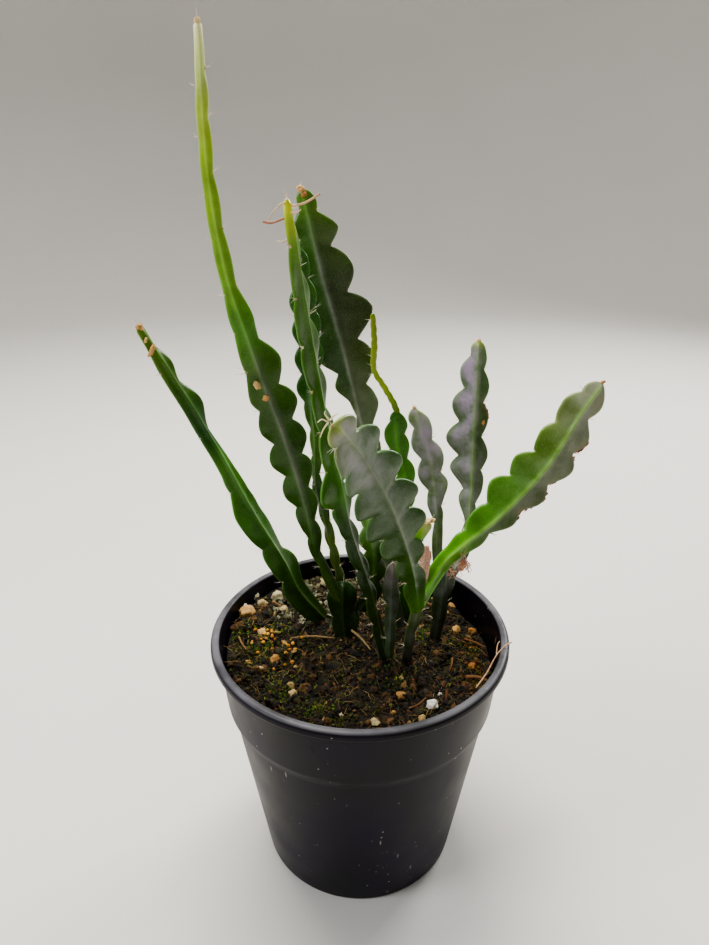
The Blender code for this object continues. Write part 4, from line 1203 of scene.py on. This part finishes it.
# Rootlets, hairs and tendrils: points in mm, radius at the foot and at the tip, tone
STRANDS = [
    (((-15.6, -51.0, 235.6), (-13.6, -52.4, 235.8), (-11.2, -53.6, 236.5), (-8.4, -54.2, 238.1)),
     0.2, 0.24, 0.5),
    (((-15.4, -51.6, 236.2), (-16.6, -53.4, 236.0), (-17.8, -55.0, 234.8), (-19.0, -56.2, 233.2)),
     0.2, 0.14, 0.3),
    (((-15.6, -50.6, 233.4), (-17.2, -51.4, 232.8), (-19.0, -52.0, 232.3), (-20.6, -52.4, 232.6)),
     0.24, 0.3, 0.7),
    (((-14.6, -52.4, 234.4), (-13.4, -53.4, 234.4), (-12.4, -54.0, 235.0)), 0.2, 0.12, 0.4),
    (((-15.7, -47.6, 229.0), (-16.8, -48.4, 228.2), (-18.2, -48.8, 228.4)), 0.2, 0.16, 0.15),
    (((-6.8, -68.4, 193.8), (-7.8, -69.4, 192.6), (-8.5, -69.2, 190.8)), 0.22, 0.1, 0.05),
    (((-6.8, -68.6, 194.0), (-8.0, -69.2, 194.8), (-9.0, -69.4, 194.2)), 0.22, 0.1, 0.05),
    (((-6.6, -68.4, 194.4), (-7.4, -69.0, 195.8), (-7.4, -69.4, 196.6)), 0.22, 0.1, 0.0),
    (((-6.4, -68.4, 194.4), (-5.4, -68.8, 195.6), (-4.6, -68.6, 196.0)), 0.2, 0.1, 0.0),
    (((10.4, 18.0, 150.0), (11.6, 17.4, 148.6), (13.4, 17.0, 148.2), (14.6, 17.4, 148.6)), 0.16, 0.1, 0.1),
    (((-33.6, -5.0, 187.2), (-35.4, -6.0, 188.6), (-37.6, -6.6, 189.4)), 0.07, 0.03, 0.0),
    (((-33.6, -5.0, 187.0), (-35.6, -6.6, 187.0), (-37.2, -7.4, 187.2)), 0.07, 0.03, 0.0),
    (((39.0, -21.0, 83.6), (43.0, -17.0, 86.6), (46.4, -13.6, 91.0), (49.6, -11.8, 93.9),
      (52.0, -10.6, 94.4)), 0.3, 0.26, 0.45),
    (((46.4, -13.6, 91.0), (47.4, -9.6, 92.4), (48.6, -7.2, 92.2)), 0.2, 0.12, 0.35),
    (((18.6, -14.0, 110.0), (19.6, -16.4, 113.4), (21.2, -17.0, 115.0)), 0.16, 0.08, 0.2),
]
# Shed hairs caught under the right-hand stem: where the clump is, its reach in mm, how many
HAIR_CLUMPS = [((34.0, -8.6, 124.4), 3.0, 26), ((30.4, -10.6, 122.2), 2.2, 14),
               ((20.6, -13.4, 122.0), 1.6, 8)]
# Husks: the middle of the low and the high edge, half of the way across, curl in mm, seed, tone
HUSKS = [
    ((20.7, -14.6, 121.4), (21.2, -12.6, 133.0), (1.8, 0.4, 0), 1.0, 3.0, 0.2),
    ((21.6, -12.4, 123.0), (22.6, -11.2, 129.6), (1.0, 0.8, 0.2), 0.8, 8.0, 0.5),
    ((32.6, -9.4, 122.4), (35.0, -7.6, 124.6), (0.8, -0.5, -0.6), 0.5, 13.0, 0.1),
]
HUSK_THICKNESS = 0.3


def bent_route(points, steps=6):
    """A smooth route through the points, with so many steps from one to the next."""
    curve = smooth_curve([Vector(point) for point in points])
    length = curve[-1][0]
    count = steps * (len(points) - 1)
    return [along(curve, length * k / count)[0] for k in range(count + 1)]


def add_strand(shell, points, foot, tip, tone, sides=6):
    route = bent_route(points)
    last = len(route) - 1
    shell.tube(route, [foot + (tip - foot) * k / last for k in range(last + 1)], sides, tone=tone)


def add_husk(shell, low, high, across, curl, seed, tone):
    """A dry, thin, crumpled sheet from a low to a high edge, closed all round."""
    rows, columns = 16, 9
    ahead = (high - low).normalized()
    look = ahead.cross(across).normalized()
    grids = []
    for side in (1, -1):
        grid = []
        for j in range(rows + 1):
            t = j / rows
            half = across.length * (0.55 + 0.45 * math.sin(2.6 * t + 0.5))
            half *= 1 + 0.25 * noise.noise(Vector((t * 4, seed, 0)))
            row = []
            for i in range(columns + 1):
                u = 2 * i / columns - 1
                crumple = 0.7 * noise.noise(Vector((u * 1.6, t * 3.2, seed)))
                ragged = 0.8 * (t ** 4) * noise.noise(Vector((u * 3.1, seed, 2.0)))
                place = low + (high - low) * (t + 0.16 * ragged) + across.normalized() * half * u
                place += look * (curl * u * u + crumple + side * HUSK_THICKNESS / 2)
                row.append(shell.add(place, tone=tone + 0.3 * t))
            grid.append(row)
        grids.append(grid)
    front, back = grids
    for j in range(rows):
        for i in range(columns):
            shell.faces.append((front[j][i], front[j][i + 1], front[j + 1][i + 1], front[j + 1][i]))
            shell.faces.append((back[j][i], back[j + 1][i], back[j + 1][i + 1], back[j][i + 1]))
    rim = [(0, i) for i in range(columns)] + [(j, columns) for j in range(rows)]
    rim += [(rows, i) for i in range(columns, 0, -1)] + [(j, 0) for j in range(rows, 0, -1)]
    for (j, i), (m, n) in zip(rim, rim[1:] + rim[:1]):
        shell.faces.append((front[j][i], back[j][i], back[m][n], front[m][n]))


# Profiles, as (radius, height) in mm

def arc(middle_radius, middle_height, radius, start, end, steps):
    """Part of a circle, from one angle to another in degrees."""
    angles = [math.radians(start + (end - start) * k / steps) for k in range(steps + 1)]
    return [(middle_radius + radius * math.cos(a), middle_height + radius * math.sin(a)) for a in angles]


def floor_profile(lift):
    """The pot's floor with its raised drainage channel, from the middle outwards."""
    return [(0, lift), (CHANNEL_INNER_RADIUS, lift),
            (CHANNEL_INNER_RADIUS + CHANNEL_SLOPE, lift + CHANNEL_DEPTH),
            (CHANNEL_OUTER_RADIUS, lift + CHANNEL_DEPTH), (CHANNEL_OUTER_RADIUS + CHANNEL_SLOPE, lift)]


def pot_profile():
    """Out along the underside, up the outside, over the rim, down the inside and back to the middle."""
    under_rim = POT_HEIGHT - RIM_DEPTH
    bead = RIM_DEPTH / 2
    outside = arc(BASE_RADIUS - BASE_CORNER, BASE_CORNER, BASE_CORNER, -90, 0, 4)
    for t in (0.05, 0.35, 0.65, 0.97, 1.0):
        outside.append((BASE_RADIUS + (WALL_TOP_RADIUS - BASE_RADIUS) * t,
                        BASE_CORNER + (WALL_TOP_HEIGHT - BASE_CORNER) * t))
    outside += [(COLLAR_FOOT_RADIUS - 0.5, COLLAR_FOOT_HEIGHT - 0.9),
                (COLLAR_FOOT_RADIUS, COLLAR_FOOT_HEIGHT),
                (COLLAR_FOOT_RADIUS + 0.15, COLLAR_FOOT_HEIGHT + 1.0),
                (COLLAR_RADIUS - 0.2, under_rim - 1.2),
                (COLLAR_RADIUS, under_rim),
                (RIM_RADIUS - 1.0, under_rim + RIM_DRAFT)]
    outside += arc(RIM_RADIUS - RIM_EDGE, under_rim + RIM_DRAFT + RIM_EDGE, RIM_EDGE, -80, 0, 4)
    outside += arc(RIM_RADIUS - bead, POT_HEIGHT - bead, bead, 12, 90, 8)
    outside += arc(RIM_INNER_RADIUS + RIM_LIP, POT_HEIGHT - RIM_LIP, RIM_LIP, 90, 180, 5)
    inside = [(COLLAR_RADIUS - WALL, under_rim), (COLLAR_FOOT_RADIUS - WALL, COLLAR_FOOT_HEIGHT),
              (WALL_TOP_RADIUS - WALL, WALL_TOP_HEIGHT), (BASE_RADIUS - WALL, WALL)]
    return floor_profile(0) + outside + inside + floor_profile(WALL)[::-1]


def mix_profile():
    """The part of the mix that the pot hides: it follows the pot's inside at a small distance."""
    inset = WALL + SEAT_GAP
    return floor_profile(inset) + [(BASE_RADIUS - inset, inset), (WALL_TOP_RADIUS - inset, WALL_TOP_HEIGHT),
                                   (COLLAR_FOOT_RADIUS - inset, COLLAR_FOOT_HEIGHT + SEAT_GAP)]


# Operators

class CACTUS_OT_make_pot(bpy.types.Operator):
    """Turns the pot's wall, rim and floor, and drills its drain holes"""
    bl_idname = "cactus.make_pot"
    bl_label = "Make the pot"

    def execute(self, context):
        values = context.scene.cactus.pot
        shell = Shell()
        shell.turned(pot_profile(), values.segments)
        pot = shell.to_object("nursery_pot", moulded_polypropylene(values))
        drains = bpy.data.collections.new("drains")
        for k in range(DRAIN_HOLES):
            turn = Matrix.Rotation(2 * math.pi * (k + 0.5) / DRAIN_HOLES, 4, "Z")
            middle = (CHANNEL_INNER_RADIUS + CHANNEL_OUTER_RADIUS + CHANNEL_SLOPE) / 2
            drill = bmesh.new()
            bmesh.ops.create_cone(drill, cap_ends=True, segments=32, radius1=DRAIN_HOLE_RADIUS * MM,
                                  radius2=DRAIN_HOLE_RADIUS * MM, depth=4 * WALL * MM,
                                  matrix=turn @ Matrix.Translation((middle * MM, 0, CHANNEL_DEPTH * MM)))
            mesh = bpy.data.meshes.new("drain")
            drill.to_mesh(mesh)
            drill.free()
            drains.objects.link(bpy.data.objects.new("drain", mesh))
        cut = pot.modifiers.new("drains", "BOOLEAN")
        cut.operation = "DIFFERENCE"
        cut.operand_type = "COLLECTION"
        cut.collection = drains
        cut.solver = "EXACT"
        depsgraph = context.evaluated_depsgraph_get()
        drilled = bpy.data.meshes.new_from_object(pot.evaluated_get(depsgraph))
        pot.modifiers.clear()
        pot.data = drilled
        for drain in list(drains.objects):
            bpy.data.objects.remove(drain)
        bpy.data.collections.remove(drains)
        drilled.set_sharp_from_angle(angle=math.radians(38))
        settle(pot, "pot_plastic", "pot")
        return {"FINISHED"}


class CACTUS_OT_make_mix(bpy.types.Operator):
    """Builds the bed of potting mix and strews its crumbs, bark, perlite, fibres and moss"""
    bl_idname = "cactus.make_mix"
    bl_label = "Make the potting mix"

    def execute(self, context):
        values = context.scene.cactus.mix
        bed = Shell()
        last = bed.turned(mix_profile(), BED_SEGMENTS, tone=0.3)
        reach = soil_radius(SOIL_LEVEL - 4)
        for k in range(BED_RINGS, -1, -1):
            ring = []
            for x, y in round_places(reach * k / BED_RINGS, BED_SEGMENTS):
                tone = 0.35 + unevenness(x, y, 4.0, 0.5, 9.1)
                ring.append(bed.add(Vector((x, y, bed_height(x, y))), tone=tone))
            bed.band(last, ring)
            last = ring
        settle(bed.to_object("mix_bed", loose_matter("moist_peat")), "potting_mix", "potting_mix")

        tree, ids = scatter_tree()
        crumb = loose_matter("peat_crumb")
        straw = loose_matter("dry_fibre")
        size = values.crumb_size / MM
        # Name, shape, where it lies, grains for each square metre, smallest and largest size in mm, how far
        # a grain tumbles over (0 lies flat, 1 any way), lift in mm, material
        strewings = [
            ("mix_crumbs", crumb_shape(1.0), anywhere, values.crumbs, 0.25 * size, size, 1.0, 0.0, crumb),
            ("mix_lumps", crumb_shape(4.0, 2), anywhere, 90000.0, 0.9 * size, 2.0 * size, 1.0, 0.1, crumb),
            ("mix_clods", crumb_shape(7.0, 2, rough=0.9), patches(PALE_SPOTS), 650000.0, 0.5, 1.4, 1.0, 0.5,
             loose_matter("fibrous_clod")),
            ("mix_chips", crumb_shape(9.0, 2, flatten=0.4), anywhere, 16000.0, 0.5, 1.5, 0.35, 0.4, straw),
            ("mix_granules", crumb_shape(12.0, 2, rough=0.2), patches(GRANULE_SPOTS), 520000.0, 0.45, 0.8,
             1.0, 0.6, loose_matter("fertiliser_granule")),
            ("mix_fibres", fibre_shape(0.08, 0.035), anywhere, 110000.0, 2.0, 7.0, 0.1, 0.5, straw),
            ("mix_curls", fibre_shape(0.3, 0.025), anywhere, 45000.0, 3.0, 9.0, 0.1, 0.6, straw),
            ("mix_mat", fibre_shape(0.2, 0.05), patches(MAT_SPOTS), 900000.0, 2.0, 5.0, 0.2, 0.6,
             loose_matter("fibre_mat")),
            ("mix_moss", moss_shape(), patches(MOSS_SPOTS, floor=0.1), values.moss, 0.7, 1.5, 0.15, 0.1,
             loose_matter("moss_leaf")),
        ]
        for seed, (name, shape, rule, density, small, large, tumble, lift, matter) in enumerate(strewings):
            grains = run_tree(name, bed_surface(rule), tree, ids, {
                "Grain": shape, "Density": density, "Smallest": (small * MM,) * 3,
                "Largest": (large * MM,) * 3, "Tumble": tumble, "Lift": lift * MM, "Seed": seed + 1,
                "Material": matter})
            bpy.data.objects.remove(shape)
            settle(grains, "potting_mix")

        stones = Shell()
        draw = random.Random(5)
        for x, y, radius, tone in STONES:
            sizes = [radius * draw.uniform(0.8, 1.1) for _ in range(3)]
            turn = Matrix.Rotation(draw.uniform(0, 3), 3, "Z")
            turn = turn @ Matrix.Rotation(draw.uniform(-0.5, 0.5), 3, "X")
            ways = ((1, 0, 0), (0, 1, 0), (0, 0, 0.8))
            axes = [turn @ Vector(way) * size for way, size in zip(ways, sizes)]
            stones.lump(on_mix(x, y, 0.35 * radius), axes, draw.uniform(0, 40), 0.45, tone=tone)
        settle(stones.to_object("mix_stones", loose_matter("perlite_and_grit")), "potting_mix")

        twigs = Shell()
        for start, end, radius, tone in TWIGS:
            low, high = on_mix(*start[:2], start[2]), on_mix(*end[:2], end[2])
            bend = Vector((draw.uniform(-0.8, 0.8), draw.uniform(-0.8, 0.8), draw.uniform(0.0, 0.7)))
            add_strand(twigs, (low, (low + high) / 2 + bend, high), radius, 0.6 * radius, tone, 7)
        settle(twigs.to_object("mix_twigs", loose_matter("bare_twig")), "potting_mix")
        return {"FINISHED"}


class CACTUS_OT_make_stems(bpy.types.Operator):
    """Grows every crown and stem as lobed blades with a rib"""
    bl_idname = "cactus.make_stems"
    bl_label = "Make the stems"

    def execute(self, context):
        values = context.scene.cactus.stems
        skin = cactus_skin()
        for node, (slot, blades) in PLANT.items():
            shell = Shell()
            for blade in blades:
                grow_blade(shell, blade, values.row_spacing / MM, values.face_columns)
            settle(shell.to_object(f"{node}_skin", skin), slot, node)
        return {"FINISHED"}


class CACTUS_OT_make_spines(bpy.types.Operator):
    """Sets wool and spines on every areole"""
    bl_idname = "cactus.make_spines"
    bl_label = "Make the areoles and spines"

    def execute(self, context):
        values = context.scene.cactus.stems
        draw = random.Random(17)
        tree, ids = notch_tree()
        tuft = crumb_shape(21.0, 2, flatten=0.6, rough=0.6)
        points = points_on_notches("tuft_points", draw, 1, 0.4, SMALLEST_TUFT * MM, LARGEST_TUFT * MM)
        tufts = run_tree("areole_wool", points, tree, ids,
                         {"Shape": tuft, "Material": loose_matter("areole_wool")})
        bpy.data.objects.remove(tuft)
        settle(tufts, "stem_green")
        spine = Shell()
        steps = [k / SPINE_STEPS for k in range(SPINE_STEPS + 1)]
        foot = values.spine_thickness / 2
        spine.tube([Vector((0.06 * t ** 2, 0, t)) / MM for t in steps],
                   [foot * (1 - 0.85 * t) / MM for t in steps], 4)
        thorn = spine.to_object("spine", None)
        longest = values.spine_length
        points = points_on_notches("spine_points", draw, SPINES_TO_AN_AREOLE, 1.0, 0.25 * longest, longest)
        spines = run_tree("areole_spines", points, tree, ids,
                          {"Shape": thorn, "Material": loose_matter("horny_spine")})
        bpy.data.objects.remove(thorn)
        settle(spines, "stem_green")
        return {"FINISHED"}


class CACTUS_OT_make_dry_bits(bpy.types.Operator):
    """Adds calluses, corky crusts, rootlets, shed hairs and papery husks"""
    bl_idname = "cactus.make_dry_bits"
    bl_label = "Make the dry bits"

    def execute(self, context):
        draw = random.Random(23)
        calluses = Shell()
        for place, (wide, deep, high), turn, tone in CALLUSES:
            spin = Matrix.Rotation(math.radians(turn), 3, "Y")
            axes = [spin @ Vector(axis) for axis in ((wide, 0, 0), (0, deep, 0), (0, 0, high))]
            calluses.lump(Vector(place), axes, draw.uniform(0, 40), 0.6, tone=tone)
        for _, blades in PLANT.values():
            for blade in blades:
                for share, side, strength in blade.cork:
                    for _ in range(CORK_CRUSTS):
                        section = Section(blade, (share + draw.uniform(-0.04, 0.04)) * blade.length)
                        size = draw.uniform(0.25, 0.6) * (0.5 + 0.5 * strength)
                        edge = (section.point(side, 1) + section.point(side, -1)) / 2
                        axes = [section.across * size * 0.6, section.look * size * 0.8,
                                section.direction * size * 1.6]
                        calluses.lump(edge, axes, draw.uniform(0, 40), 0.6, tone=draw.uniform(0.6, 1.0))
        settle(calluses.to_object("stem_calluses", loose_matter("callus")), "stem_green")

        strands = Shell()
        for points, foot, tip, tone in STRANDS:
            add_strand(strands, points, foot, tip, tone)
        for place, reach, count in HAIR_CLUMPS:
            for _ in range(count):
                points = [Vector(place) + Vector([draw.gauss(0, 0.3) * reach for _ in range(3)])]
                for _ in range(3):
                    points.append(points[-1] + Vector([draw.gauss(0, 0.36) * reach for _ in range(3)]))
                add_strand(strands, points, HAIR_FOOT, HAIR_TIP, draw.uniform(0.4, 0.9), 4)
        settle(strands.to_object("dry_strands", loose_matter("dry_rootlet")), "stem_young")

        husks = Shell()
        for low, high, across, curl, seed, tone in HUSKS:
            add_husk(husks, Vector(low), Vector(high), Vector(across), curl, seed, tone)
        settle(husks.to_object("papery_husks", loose_matter("papery_husk")), "stem_young")
        return {"FINISHED"}


class CACTUS_OT_make_stage(bpy.types.Operator):
    """Lays the pale paper, sets the soft lights and puts the camera where the photograph was taken"""
    bl_idname = "cactus.make_stage"
    bl_label = "Make the stage"

    def execute(self, context):
        values = context.scene.cactus.stage
        # A flat disc, a bend and a wall, in metres
        flat, bend, height = 1.1, 0.6, 1.5
        sweep = [(0.4, 0.0), (flat, 0.0)]
        sweep += [(flat + bend * math.sin(a), bend - bend * math.cos(a))
                  for a in (math.pi / 2 * k / 16 for k in range(1, 17))]
        sweep += [(flat + bend, height)]
        paper = Shell()
        rings = [[paper.add(Vector((0, 0, 0)))]]
        rings += [[paper.add(Vector((x, y, z)) / MM) for x, y in round_places(radius, 96)]
                  for radius, z in sweep]
        for inner, outer in zip(rings, rings[1:]):
            paper.band(outer, inner)
        paper.to_object("paper_sweep", studio_paper(values))

        context.scene.view_settings.look = "AgX - Medium High Contrast"
        world = bpy.data.worlds.new("studio")
        world.use_nodes = True
        background = world.node_tree.nodes["Background"]
        background.inputs["Color"].default_value = linear("e8ebf0")
        background.inputs["Strength"].default_value = 0.4
        context.scene.world = world
        # Soft boxes: where each stands, what it looks at, its side in metres, its watts and its colour
        lights = [("overhead", (-0.12, 0.28, 0.95), (0, 0, 0.12), 0.6, 13.0, "fffaf2"),
                  ("left", (-0.8, -0.3, 0.6), (0, 0, 0.16), 0.35, 5.0, "f6f8ff"),
                  ("back", (0.55, 0.65, 0.6), (0, 0, 0.16), 0.35, 6.0, "ffffff")]
        for name, place, target, size, power, colour in lights:
            lamp = bpy.data.lights.new(name, "AREA")
            lamp.size = size
            lamp.energy = power
            lamp.color = linear(colour)[:3]
            light = bpy.data.objects.new(name, lamp)
            light.location = place
            light.rotation_euler = (Vector(target) - Vector(place)).to_track_quat("-Z", "Y").to_euler()
            context.scene.collection.objects.link(light)

        lens = bpy.data.cameras.new("camera")
        lens.sensor_width = 36.0
        lens.lens = values.lens
        lens.clip_start = 0.01
        camera = bpy.data.objects.new("camera", lens)
        camera.location = values.place
        ahead = Vector((-math.sin(values.yaw) * math.cos(values.pitch),
                        math.cos(values.yaw) * math.cos(values.pitch), -math.sin(values.pitch)))
        camera.rotation_euler = ahead.to_track_quat("-Z", "Y").to_euler()
        context.scene.collection.objects.link(camera)
        context.scene.camera = camera
        return {"FINISHED"}


class CACTUS_PT_pieces(bpy.types.Panel):
    """Lists the pieces of the cactus"""
    bl_idname = "CACTUS_PT_pieces"
    bl_label = "Fishbone cactus"
    bl_space_type = "VIEW_3D"
    bl_region_type = "UI"
    bl_category = "Cactus"

    def draw(self, context):
        for operator in STEPS:
            self.layout.operator(operator.bl_idname)


STEPS = (CACTUS_OT_make_stage, CACTUS_OT_make_pot, CACTUS_OT_make_mix, CACTUS_OT_make_stems,
         CACTUS_OT_make_spines, CACTUS_OT_make_dry_bits)
CLASSES = (PotValues, MixValues, StemValues, StageValues, CactusValues, *STEPS, CACTUS_PT_pieces)


def register():
    for kind in CLASSES:
        bpy.utils.register_class(kind)
    bpy.types.Scene.cactus = bpy.props.PointerProperty(type=CactusValues)


def unregister():
    del bpy.types.Scene.cactus
    for kind in reversed(CLASSES):
        bpy.utils.unregister_class(kind)


def main():
    register()
    bpy.ops.cactus.make_stage()
    bpy.ops.cactus.make_pot()
    bpy.ops.cactus.make_mix()
    bpy.ops.cactus.make_stems()
    bpy.ops.cactus.make_spines()
    bpy.ops.cactus.make_dry_bits()


if __name__ == "__main__":
    main()
